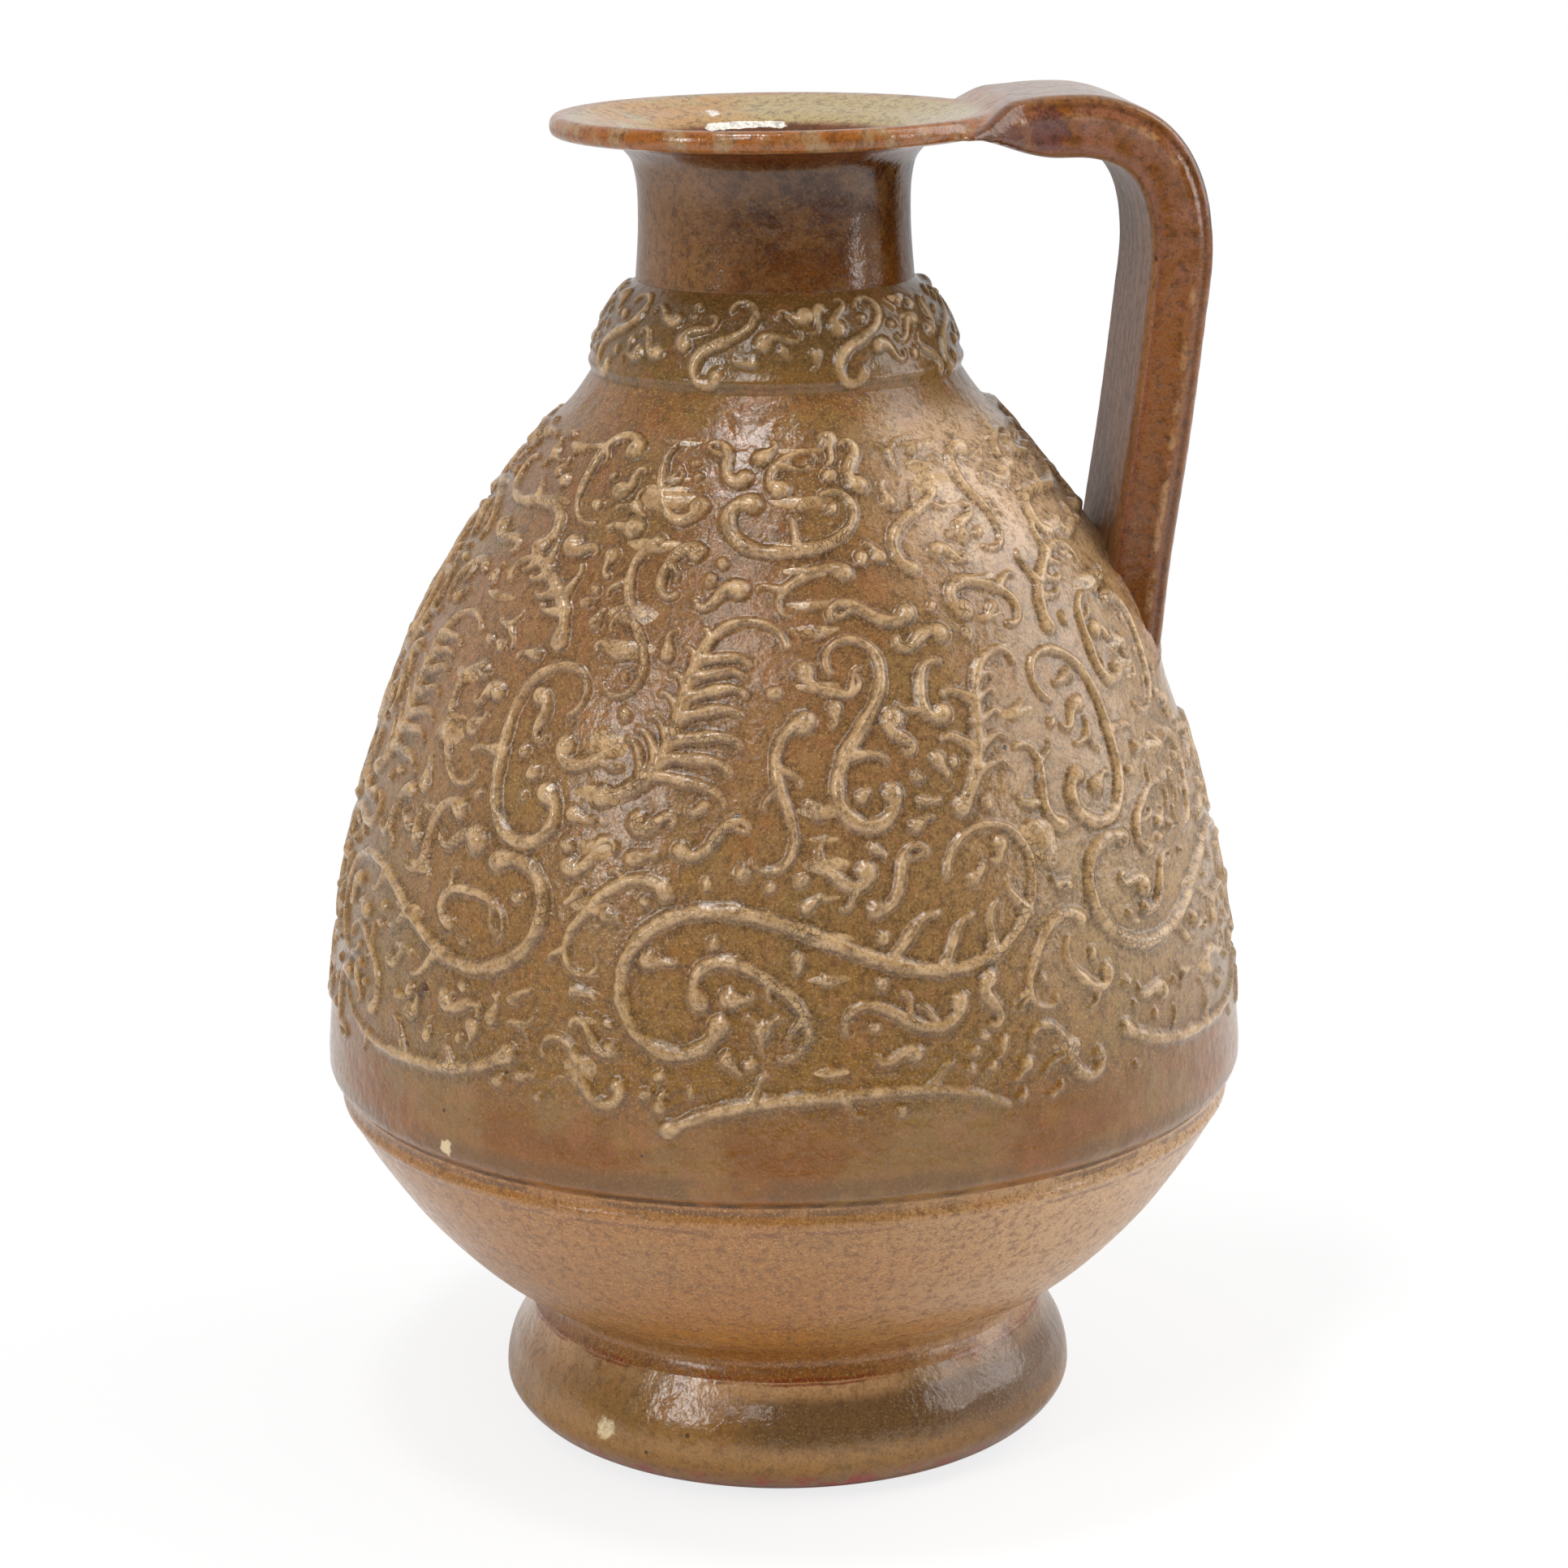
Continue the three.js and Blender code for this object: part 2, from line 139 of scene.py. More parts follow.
def spun(name, profile):
    deselect()
    profile = np.array(profile) * MM
    bpy.ops.mesh.primitive_plane_add(size=MM, location=(0, 0, 0))
    piece = bpy.context.object
    piece.name = name
    edit_mode()
    bpy.ops.mesh.merge(type="CENTER")
    bpy.ops.transform.translate(value=(profile[0][0], 0, profile[0][1]))
    for a, b in zip(profile, profile[1:]):
        bpy.ops.mesh.extrude_region_move(
            TRANSFORM_OT_translate={"value": (b[0] - a[0], 0, b[1] - a[1])}
        )
    bpy.ops.mesh.select_all(action="SELECT")
    bpy.ops.mesh.spin(steps=SPIN_STEPS, angle=2 * math.pi, center=(0, 0, 0), axis=(0, 0, 1))
    bpy.ops.mesh.select_all(action="SELECT")
    bpy.ops.mesh.remove_doubles(threshold=MERGE_DISTANCE * MM)
    bpy.ops.mesh.normals_make_consistent(inside=False)
    object_mode()
    bpy.ops.object.shade_smooth_by_angle(angle=EDGE_ANGLE)
    print(name, len(piece.data.polygons), "faces")
    return piece


# %% Foot ring and bowl
foot_outer = outline([
    (STANDING_RADIUS, 0), (FOOT_RADIUS - 5.2, 3.2), (FOOT_RADIUS - 0.6, 8), (FOOT_RADIUS, 12.5),
    (FOOT_RADIUS - 1.3, 18), (FOOT_RADIUS - 4.1, 23), (WAIST_RADIUS + 2, FOOT_TOP),
], 40)
foot_inner = [(STANDING_RADIUS - 1.5, FOOT_TOP), (STANDING_RADIUS - 7, 0)]
foot = spun("foot_turned", [*foot_outer, *foot_inner, foot_outer[0]])

bowl_outer = outline([
    (WAIST_RADIUS + 2, FOOT_TOP), (WAIST_RADIUS, 30), (57.5, 33.8), (64.5, 37.2), (73, 44.2),
    (83, 55), (91.5, 67), (96, 74.4),
], 60)
bowl_ridge = [
    (96.9, 76.2), (97.5, 76.8), (97.68, 77.4), (97.5, 78.1), (97, 79), (97.1, 80), (97.2, SEAM)
]
bowl_inner = outline([
    (97.2 - WALL * 1.1, SEAM), (85.5, 68), (76, 56.5), (62, 47), (40, FOOT_TOP + FLOOR + 4),
    (0, FOOT_TOP + FLOOR + 1.5),
], 30)
bowl_floor = [(0, FOOT_TOP + 1.5), (44, FOOT_TOP + 1.5), (45, FOOT_TOP)]
bowl = spun("bowl_thrown", [*bowl_floor, *bowl_outer, *bowl_ridge, *bowl_inner])

# %% Body
body_lip = [(97.2, SEAM), (97.6, 81.8), (98.9, 82.8), (99.8, 84), (BODY_RADIUS + 0.05, 85.4)]
body_outer = outline([
    (BODY_RADIUS, 89), (98.7, 105), (95.5, 125), (90.8, 145), (84.3, 165), (75.9, 185), (64.8, 203),
    (51.3, 221), (43.7, 229), (COLLAR_RADIUS + 0.2, COLLAR_BOTTOM),
], 120)
body_wall = np.array([*body_lip, *body_outer])
body_inner = inner_wall(body_wall, WALL)[::-1]
body = spun("body_thrown", [*body_wall, *body_inner, body_wall[0]])

# %% Collar
collar_wall = outline([
    (COLLAR_RADIUS + 0.2, COLLAR_BOTTOM), (COLLAR_RADIUS, 238.5), (COLLAR_RADIUS - 1.4, 243.4),
    (COLLAR_RADIUS - 3.7, 248.2), (COLLAR_RADIUS - 6.5, 252), (NECK_RADIUS + 0.7, COLLAR_TOP),
], 48)
neck_bore = NECK_RADIUS - NECK_WALL
collar_inner = outline(
    [(neck_bore + 0.6, COLLAR_TOP), (neck_bore + 3, 246), (body_inner[0][0], COLLAR_BOTTOM)], 16
)
collar = spun("collar_thrown", [*collar_wall, *collar_inner, collar_wall[0]])

# %% [markdown]
# ## Neck, rim and handle
# The strap is pressed on the rim and smoothed with a wet thumb, so the clay runs from one into the
# other without a line. The neck and the rim are spun and the strap is shaped from a bar. A voxel
# remesh then fuses the three, and a smoothing pass softens the joints as the thumb does.

# %% Neck and rim
neck_outer = outline([
    (NECK_RADIUS + 0.9, COLLAR_TOP - 1.5), (NECK_RADIUS + 0.4, 259), (NECK_RADIUS, 266),
    (NECK_RADIUS + 0.1, 274), (NECK_RADIUS + 1.1, NECK_TOP),
], 30)
rim_under = outline([
    (NECK_RADIUS + 1.1, NECK_TOP), (NECK_RADIUS + 4.7, 283), (NECK_RADIUS + 11.2, 284.2),
    (RIM_RADIUS - 1.4, 284.6), (RIM_RADIUS - 0.1, 286), (RIM_RADIUS - 0.3, 288.1),
    (RIM_RADIUS - 1.5, RIM_TOP),
], 40)
rim_dish = outline([
    (RIM_RADIUS - 5, 288.6), (37, 286.9), (31.4, 285.2), (27.6, 282.9), (neck_bore + 1.2, NECK_TOP),
    (neck_bore, 269), (neck_bore + 0.6, COLLAR_TOP - 1.5),
], 50)
throat = spun("neck_and_rim", [*neck_outer, *rim_under[1:], *rim_dish, neck_outer[0]])

# %% The line that the strap follows
STRAP_WIDTH = 43
STRAP_THICKNESS = 12.8
STRAP_CROWN = 1
STRAP_HALF = STRAP_THICKNESS / 2
STRAP_BEVEL = 2.8
STRAP_CUTS = 110
strap_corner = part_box("handle_strap")[1]
strap_top = strap_corner.z / MM - STRAP_CROWN - STRAP_HALF
strap_side = strap_corner.x / MM - STRAP_CROWN - STRAP_HALF
strap_line = outline([
    (35, strap_top - 2.4), (47, strap_top - 1), (59, strap_top), (68, strap_top - 0.8),
    (76.4, strap_top - 5), (81.7, strap_top - 13.4), (strap_side, strap_top - 26), (82.2, 245),
    (79.3, 221), (75.8, 197), (73.6, 180), (71.5, 164),
], 400)
strap_lengths = lengths_along(strap_line)
strap_length = strap_lengths[-1]
print("strap length", round(strap_length, 1), "mm")


# %% [markdown]
# A bar is the start of the strap. It is cut along its length and its edges are bevelled while it is
# straight, because that is easy. Its points are then carried to the curved line, where the strap
# also spreads over the rim and melts into its top and its underside.

# %% Shape the strap
def shape_strap():
    deselect()
    bpy.ops.mesh.primitive_cube_add(size=1)
    strap = bpy.context.object
    strap.name = "strap"
    strap.scale = (strap_length, STRAP_WIDTH, STRAP_THICKNESS)
    bpy.ops.object.transform_apply(location=False, rotation=False, scale=True)
    edit_mode("DESELECT")
    object_mode()
    for edge in strap.data.edges:
        a, b = (strap.data.vertices[v].co for v in edge.vertices)
        edge.select = abs(a.x - b.x) > 1
    bpy.ops.object.mode_set(mode="EDIT")
    bpy.ops.mesh.bevel(offset=STRAP_BEVEL, segments=5, profile=0.5)
    object_mode()
    for cut in range(1, STRAP_CUTS):
        at = (cut / STRAP_CUTS - 0.5) * strap_length
        edit_mode()
        bpy.ops.mesh.bisect(plane_co=(at, 0, 0), plane_no=(1, 0, 0))
        object_mode()
    return strap


# %% Carry the strap to its line
FAN = 13
FAN_OVER = (33, 54)
MELT = 0.62
MELT_OVER = (38, 49)
RISE_OVER = (36, 58)
RIM_JOINT = 285.3
ROOT_LENGTH = 34
ROOT_ROUND = 1.4
ROOT_WIDER = 0.12
ROOT_THICKER = 0.2
SLOPE_STEP = 1.5


def smoothstep(low, high, value):
    t = np.clip((value - low) / (high - low), 0, 1)
    return t * t * (3 - 2 * t)


def vertex_vectors(mesh, kind):
    values = np.empty(len(mesh.vertices) * 3)
    mesh.vertices.foreach_get(kind, values)
    return values.reshape(-1, 3)


def move_vertices(mesh, place):
    mesh.vertices.foreach_set("co", (place * MM).ravel())
    mesh.update()


def on_strap_line(along):
    along = np.clip(along, 0, strap_length)
    return np.array([np.interp(along, strap_lengths, strap_line[:, k]) for k in (0, 1)])


def carry_to_line(strap):
    co = vertex_vectors(strap.data, "co")
    along = np.clip(co[:, 0] + strap_length / 2, 0, strap_length)
    x, z = on_strap_line(along)
    dx, dz = on_strap_line(along + SLOPE_STEP) - on_strap_line(along - SLOPE_STEP)
    size = np.hypot(dx, dz)
    on_rim = along < strap_length / 2
    fan, melt, rise = (
        np.where(on_rim, 1 - smoothstep(*over, x), 0) for over in (FAN_OVER, MELT_OVER, RISE_OVER)
    )
    root = smoothstep(strap_length - ROOT_LENGTH, strap_length, along)
    wide = 1 + fan * FAN / (STRAP_WIDTH / 2) + ROOT_WIDER * root
    sideways = (co[:, 1] / (STRAP_WIDTH / 2)) ** 2
    crown = STRAP_CROWN * (1 - sideways) - ROOT_ROUND * root * sideways
    upper = (co[:, 2] + crown) * (1 - MELT * melt)
    underside = (1 - rise) * STRAP_HALF - rise * (RIM_JOINT - z)
    lower = co[:, 2] * underside / STRAP_HALF
    lift = np.where(co[:, 2] > 0, upper, lower) * (1 + ROOT_THICKER * root)
    move_vertices(
        strap.data, np.column_stack([x - dz / size * lift, co[:, 1] * wide, z + dx / size * lift])
    )


strap = shape_strap()
carry_to_line(strap)
print("strap", len(strap.data.polygons), "faces")


# %% Fuse the strap with the rim
def apply_modifier(piece, kind, name, **settings):
    deselect()
    piece.select_set(True)
    bpy.context.view_layer.objects.active = piece
    modifier = piece.modifiers.new(name, kind)
    for key, value in settings.items():
        setattr(modifier, key, value)
    bpy.ops.object.modifier_apply(modifier=name)


VOXEL = 0.75
THUMB_PASSES = 9
deselect()
throat.select_set(True)
strap.select_set(True)
bpy.context.view_layer.objects.active = throat
bpy.ops.object.join()
apply_modifier(throat, "REMESH", "fuse", mode="VOXEL", voxel_size=VOXEL * MM)
apply_modifier(throat, "SMOOTH", "thumb", factor=0.5, iterations=THUMB_PASSES)
throat.name = "neck_rim_and_handle"
bpy.ops.object.shade_smooth()
print(throat.name, len(throat.data.polygons), "faces")

# %% [markdown]
# The potter draws the strap through wet fingers, and they leave a ridge and a groove along its
# sides. Each point of the fused mesh is measured against the strap's line: how far across it lies
# and which way it faces. The sides are then pushed in and out, and the measures are kept as
# attributes, so that the glaze can tell the sides from the inner face.

# %% Measure the strap and draw the ridges
# Each ridge is a place across the strap, a width and a height. A groove's height is negative.
RIDGES = [(2.3, 0.9, 0.42), (4.5, 0.7, -0.38), (-1.6, 1.8, -0.25)]
STRAP_FREE = (40, 56)


def write_attributes(mesh, labels):
    for label, values in labels.items():
        attribute = mesh.attributes.new(label, "FLOAT", "POINT")
        attribute.data.foreach_set("value", values.astype(np.float32))


def nearest_on_line(points, chunk=20000):
    found = []
    for start in range(0, len(points), chunk):
        part = points[start : start + chunk]
        gaps = np.hypot(part[:, :1] - strap_line[:, 0], part[:, 1:] - strap_line[:, 1])
        found.append(gaps.argmin(axis=1))
    return np.concatenate(found)


def draw_ridges(piece):
    mesh = piece.data
    co = vertex_vectors(mesh, "co") / MM
    normal = vertex_vectors(mesh, "normal")
    near = nearest_on_line(co[:, [0, 2]])
    step = np.gradient(strap_line, axis=0)
    step /= np.linalg.norm(step, axis=1)[:, None]
    outward = np.column_stack([-step[:, 1], step[:, 0]])[near]
    across = ((co[:, [0, 2]] - strap_line[near]) * outward).sum(axis=1)
    facing = (normal[:, [0, 2]] * outward).sum(axis=1)
    on_strap = smoothstep(*STRAP_FREE, co[:, 0])
    side = on_strap * smoothstep(0.45, 0.85, abs(normal[:, 1]))
    push = sum(height * np.exp(-(((across - at) / width) ** 2)) for at, width, height in RIDGES)
    co[:, 1] += np.sign(co[:, 1]) * side * push
    labels = {
        "strap_side": side,
        "strap_inner": on_strap * smoothstep(0.3, 0.8, -facing),
        "strap_outer": on_strap * smoothstep(0.3, 0.8, facing),
        "strap_across": across * MM,
        "strap_along": strap_lengths[near] * MM,
    }
    write_attributes(mesh, labels)
    move_vertices(mesh, co)


draw_ridges(throat)
print("ridges", len(RIDGES), "on each side of the strap")

# %% [markdown]
# ## The wall that carries the trailing
# The ornament is drawn flat, in millimetres along the wall and round it, and then wrapped. The
# wall's outline gives the radius and the height at each length along it.

# %% Measures along a wall
FRIEZE_BOTTOM = 99
WALL_STEP = 0.8


class Surface:
    def __init__(self, wall, start):
        self.wall = wall
        self.lengths = lengths_along(wall)
        self.origin = np.interp(start, wall[:, 1], self.lengths)
        self.height = self.lengths[-1] - self.origin

    def radius(self, along):
        return np.interp(along + self.origin, self.lengths, self.wall[:, 0])

    def z(self, along):
        return np.interp(along + self.origin, self.lengths, self.wall[:, 1])

    def normal(self, along):
        ahead = along + WALL_STEP
        behind = along - WALL_STEP
        dr = self.radius(ahead) - self.radius(behind)
        dz = self.z(ahead) - self.z(behind)
        size = np.hypot(dr, dz)
        return dz / size, -dr / size


on_body = Surface(body_wall, FRIEZE_BOTTOM)
on_collar = Surface(collar_wall, COLLAR_BOTTOM + 0.01)
print("frieze", round(on_body.height, 1), "mm tall, collar", round(on_collar.height, 1), "mm")


# %% [markdown]
# ## Trails
# A trail of slip runs nearly straight at its middle and rolls up at its ends, as the hand swings.
# One formula gives them all: the heading turns with the square of the distance from the middle.

# %% A trailed line and a motif
RIB_SHORTER = 0.12


def trail(x, y, heading, length, curl_in=0.0, curl_out=0.0, steps=60):
    from_middle = 2 * (np.arange(steps) + 0.5) / steps - 1
    curl = np.where(from_middle < 0, curl_in, curl_out)
    turned = heading + curl * from_middle**2
    path = np.cumsum(np.column_stack([np.cos(turned), np.sin(turned)]) * length / steps, axis=0)
    path = np.vstack([[0, 0], path])
    return path + np.array([x, y]) - path[len(path) // 2]


def twig(line, i, turn, length, bend, steps=16):
    along = line[min(i + 1, len(line) - 1)] - line[max(i - 1, 0)]
    heading = math.atan2(along[1], along[0]) + turn
    grown = trail(0, 0, heading, length, 0, bend, steps)
    return grown - grown[0] + line[i]


def motif(main, ribs=()):
    spine = trail(*main)
    last = len(spine) - 1
    return [spine] + [twig(spine, round(at * last), *rib) for at, *rib in ribs]


def rib_rows(*rows):
    return [
        (first + (last - first) * i / (count - 1), turn, length * (1 - RIB_SHORTER * i), bend)
        for first, last, count, turn, length, bend in rows
        for i in range(count)
    ]


# %% The panel designs
# A spine has x, y, a heading, a length, and how far it curls at its start and at its end. A rib has
# a place along the spine, a turn, a length and a bend. A row of ribs has a first and a last place
# and a count in front of the other three.
leaf_panel = {
    "leaf_scroll": motif((2, 36, -0.42, 168, 4.8, 5.2), rib_rows((0.56, 0.76, 4, 1.25, 14, -1.2))),
    "feather": motif(
        (-26, 86, 1.25, 62, -1.2, -2.6),
        rib_rows(
            (0.2, 0.62, 4, -1.0, 17, -1.3), (0.27, 0.55, 3, -1.0, 15, -1.3), (0.16, 0.7, 7, 1.0, 9, 1.5)
        ),
    ),
    "tendril": motif((8, 78, 0.95, 66, 4.2, 4.4), [(0.42, -1.1, 9, -1.4)]),
    "sprig": motif(
        (33, 80, 1.6, 40, -0.8, -3),
        rib_rows((0.3, 0.55, 2, 1.1, 9, 1.4), (0.2, 0.66, 5, -1.1, 8, -1.6)),
    ),
    "crook": motif((-2, 116, 0.12, 50, -3.6, 3.6), [(0.5, 1.57, 7, 0)]),
    "fringe": motif(
        (2, 6, 0.04, 72, 0.5, -0.6), [(0.25, 1.1, 7, -1), (0.5, -1.1, 6, 1), (0.75, 1.1, 7, -1)]
    ),
}
palm_panel = {
    "double_scroll": motif((0, 33, 0.5, 132, -4.2, -4.6), rib_rows((0.4, 0.6, 3, -1.2, 11, 1.2))),
    "palm": motif(
        (18, 80, 1.75, 56, 1, 2.4),
        rib_rows(
            (0.18, 0.66, 4, 1.0, 15, 1.3), (0.26, 0.58, 3, 1.0, 13, 1.3), (0.14, 0.7, 7, -1.0, 9, -1.5)
        ),
    ),
    "coil": motif((-18, 70, 1.5, 78, -4.4, 4.2), [(0.5, -1.5, 9, -1)]),
    "branch": motif(
        (-13, 107, 0.6, 34, 1, -2.6),
        rib_rows((0.3, 0.6, 2, 1.1, 8, -1.2), (0.2, 0.7, 4, -1.1, 7, 1.4)),
    ),
    "hook": motif((6, 122, -0.2, 44, 3, 3.4), [(0.45, 1.3, 6, -1)]),
    "hem": motif(
        (-4, 3, -0.03, 64, -0.6, 0.7), [(0.25, 1.2, 7, 1), (0.5, 1.2, 9, -1), (0.75, -1.2, 5, 1)]
    ),
}
border_scroll = motif((0, 9, 1.9, 30, 3.4, 3.4), [(0.5, 1.6, 7, 0.8)])
collar_scroll = motif((0, 11, 0.4, 34, 4.2, 4.2))
PANELS = 6
COLLAR_SCROLLS = 8
print("motifs", len(leaf_panel) + len(palm_panel))

# %% [markdown]
# ## The relief as a height field
# Melted slip has no edges, so beads laid on the wall would look wrong. The wall is instead unrolled
# into a fine grid that holds a height at each point. Each trail raises the heights near it with a
# soft round section, and the highest wins where trails cross. A plain mesh tool has no such brush,
# so this step is done with arrays.

# %% A field of heights on the unrolled wall
TRAIL_HALF_WIDTH = 1.95
TRAIL_HEIGHT = 1.3
COLLAR_TRAIL_HEIGHT = 1.0
LOW_RELIEF = 0.72
LOW_RELIEF_OVER = (4, 26)
DRAWING_STEP = 0.3
BLOB_LENGTH = 1.7
TIP = 0.55
TAPER = 8
TAPER_SHARE = 0.55


class Field:
    def __init__(self, surface, columns, cell, low, high, relief):
        self.surface = surface
        self.relief = relief
        self.angles = np.arange(columns) * 2 * math.pi / columns
        self.along = np.arange(low, high, cell)
        self.cell = cell
        self.step = 2 * math.pi / columns
        self.radius = surface.radius(self.along)
        self.height = np.zeros((len(self.along), columns))
        self.taken = np.zeros(self.height.shape, bool)

    def window(self, angle, along, reach):
        row = (along - self.along[0]) / self.cell
        span = reach / self.cell
        rows = np.arange(max(int(row - span), 0), min(int(row + span) + 2, len(self.along)))
        if not len(rows):
            return None
        span = int(reach / (self.surface.radius(along) * self.step)) + 1
        middle = int(round(angle / self.step))
        cols = np.arange(middle - span, middle + span + 1)
        dx = (cols * self.step - angle)[None, :] * self.radius[rows][:, None]
        dy = (self.along[rows] - along)[:, None]
        return np.ix_(rows, cols % len(self.angles)), np.hypot(dx, dy)

    def wrap(self, centre, line):
        return np.column_stack([centre + line[:, 0] / self.surface.radius(line[:, 1]), line[:, 1]])

    def free(self, centre, line):
        placed = self.wrap(centre, line)
        cols = np.round(placed[:, 0] / self.step).astype(int) % len(self.angles)
        rows = np.round((placed[:, 1] - self.along[0]) / self.cell).astype(int)
        if rows.min() < 3 or rows.max() > len(self.along) - 4:
            return False
        return not self.taken[rows, cols].any()

    def draw_motif(self, centre, lines, sizes, margin, blobs=(0.3, 0.3)):
        for i, line in enumerate(lines):
            self.draw(centre, line, sizes[i > 0], margin, blobs[i > 0])

    def draw(self, centre, line, size, margin, blob):
        lengths = lengths_along(line)
        total = lengths[-1]
        count = max(int(total / DRAWING_STEP), 1)
        at = np.linspace(0, total, count + 1)
        line = np.column_stack([np.interp(at, lengths, line[:, k]) for k in (0, 1)])
        placed = self.wrap(centre, line)
        start = 1 + blob * np.exp(-((at / BLOB_LENGTH) ** 2))
        taper = max(TAPER, TAPER_SHARE * total)
        end = TIP + (1 - TIP) * smoothstep(0, taper, total - at)
        wobble = 1 + 0.07 * np.sin(at * 0.9 + centre * 7) + 0.05 * np.sin(at * 0.37 + 2 * centre)
        for (angle, along), swell in zip(placed, size * start * end * wobble):
            half_width = TRAIL_HALF_WIDTH * swell
            found = self.window(angle, along, half_width + margin)
            if found is None:
                continue
            cells, distance = found
            inside = np.clip(distance / half_width, 0, 1)
            section = (0.5 + 0.5 * np.cos(math.pi * inside)) ** 0.75
            softer = LOW_RELIEF + (1 - LOW_RELIEF) * smoothstep(*LOW_RELIEF_OVER, along)
            bump = self.relief * softer * swell**0.6 * section
            self.height[cells] = np.maximum(self.height[cells], bump)
            self.taken[cells] |= distance < half_width + margin


# %% Blur a field, wrapping round the jug
def blurred(field, sigma):
    reach = int(3 * sigma)
    kernel = np.exp(-0.5 * (np.arange(-reach, reach + 1) / sigma) ** 2)
    kernel /= kernel.sum()
    for axis, mode in enumerate(("edge", "wrap")):
        width = [(0, 0), (0, 0)]
        width[axis] = (reach, reach)
        padded = np.pad(field, width, mode=mode)
        field = sum(
            k * np.take(padded, range(i, i + field.shape[axis]), axis=axis)
            for i, k in enumerate(kernel)
        )
    return field


# %% Draw the motifs on the body
SECTORS = 12
SECTOR_COLUMNS = 130
CELL = 0.4
LOW = -3
HIGH = on_body.height - 9
body_field = Field(on_body, SECTORS * SECTOR_COLUMNS, CELL, LOW, HIGH, TRAIL_HEIGHT)
HANDLE_CLEAR = STRAP_WIDTH / 2 + 5
ROOT_BOTTOM = 153
ROOT_TOP = 203
# Two sizes go with a motif: the spine's width and the ribs', as a share of a full trail.
MOTIF_SIZES = (1.05, 0.88)
BORDER_SIZES = (0.95, 0.82)


def under_handle(centre, lines, bottom=ROOT_BOTTOM):
    for line in lines:
        radius = on_body.radius(line[:, 1])
        angle = centre + line[:, 0] / radius
        x = radius * np.cos(angle)
        y = radius * np.sin(angle)
        z = on_body.z(line[:, 1])
        if np.any((x > 0) & (abs(y) < HANDLE_CLEAR) & (z > bottom) & (z < ROOT_TOP)):
            return True
    return False


slip_nodes = {panel: [] for panel in range(PANELS)}
for panel in range(PANELS):
    centre = (panel + 0.5) * 2 * math.pi / PANELS
    mirror = np.array([-1 if panel % 4 > 1 else 1, 1])
    for kind, lines in (palm_panel if panel % 2 else leaf_panel).items():
        placed = [line * mirror for line in lines]
        if under_handle(centre, placed):
            continue
        node = f"slip_{kind}_{panel + 1}"
        slip_nodes[panel].append(node)
        body_field.draw_motif(centre, placed, MOTIF_SIZES, 2.0)
    border_centre = panel * 2 * math.pi / PANELS
    body_field.draw_motif(border_centre, border_scroll, BORDER_SIZES, 1.8)
    slip_nodes[panel].append(f"slip_border_scroll_{panel + 1}")
print("trailed nodes", sum(len(names) for names in slip_nodes.values()))

# %% [markdown]
# ## Filling the ground
# Between the large motifs the trailer fills what is left with loose strokes, forks, hooks, commas
# and dots, each with a thick start and a thin end. A seeded random draw does the same: it tries a
# place and keeps it if it is free. The long strokes go first, because they need the most room.

# %% Strokes, forks, hooks, commas and dots
random.seed(11)


def any_heading():
    return random.uniform(0, 2 * math.pi)


def stroke(length, curl):
    side = random.choice((-1, 1))
    first = side * random.uniform(0.4, 1.0) * curl
    last = side * random.choice((-1, 1)) * random.uniform(0.5, 1.0) * curl
    return trail(0, 0, any_heading(), length, first, last, 30)


def side_twig(line, length, turn):
    i = random.randrange(len(line) // 4, 3 * len(line) // 4)
    return twig(line, i, turn, length, -1.5 * math.copysign(1, turn), 14)


def branched(length, twigs, curl=3.0):
    line = stroke(length, curl)
    sides = [random.choice((-1.1, 1.1)) for _ in range(twigs)]
    return [line] + [side_twig(line, random.uniform(4, 7), side) for side in sides]


def fork():
    heading = any_heading()
    arms = [
        trail(0, 0, heading + turn, random.uniform(3.5, 6.5), 0, 1.5 * turn, 12)
        for turn in (-0.8, 0.8)
    ]
    stem = trail(0, 0, heading + math.pi, random.uniform(3.5, 7), 0, random.uniform(-1.5, 1.5), 12)
    return [arm - arm[0] for arm in (stem, *arms)]


def hook():
    bend = random.choice((-1, 1)) * random.uniform(2.2, 3.8)
    return [trail(0, 0, any_heading(), random.uniform(9, 15), 0.6 * bend, bend, 24)]


def comma():
    return [trail(0, 0, any_heading(), random.uniform(3, 6.5), 0, random.uniform(-2.2, 2.2), 10)]


def dot():
    return [trail(0, 0, any_heading(), random.uniform(0.4, 1.2), steps=4)]


# %% Fill what is free
def fill(field, shapes, tries, size, margin, low, high, scale=1.0):
    made = 0
    for _ in range(tries):
        lines = shapes()
        centre = random.uniform(0, 2 * math.pi)
        lift = np.array([0, random.uniform(low, high)])
        lines = [line * scale + lift for line in lines]
        if not all(field.free(centre, line) for line in lines):
            continue
        if field.surface is on_body and under_handle(centre, lines, ROOT_BOTTOM + 6):
            continue
        swell = random.uniform(0.9, 1.12) * size
        blob = random.uniform(0.2, 0.75)
        field.draw_motif(centre, lines, (swell, swell * 0.88), margin, (blob, 0))
        made += 1
    return made


# Each row is a shape, how often it is tried, its width and the margin round it.
FILLINGS = [
    (lambda: branched(random.uniform(28, 46), 2, 3.4), 5000, 0.9, 1.7),
    (lambda: branched(random.uniform(15, 24), 1), 4500, 0.9, 1.5),
    (fork, 900, 0.88, 1.5),
    (hook, 5000, 0.9, 1.35),
    (comma, 4500, 0.92, 1.2),
    (dot, 2500, 1.0, 1.2),
]
for shapes, tries, size, margin in FILLINGS:
    print("filled", fill(body_field, shapes, tries, size, margin, LOW + 4, HIGH - 4))

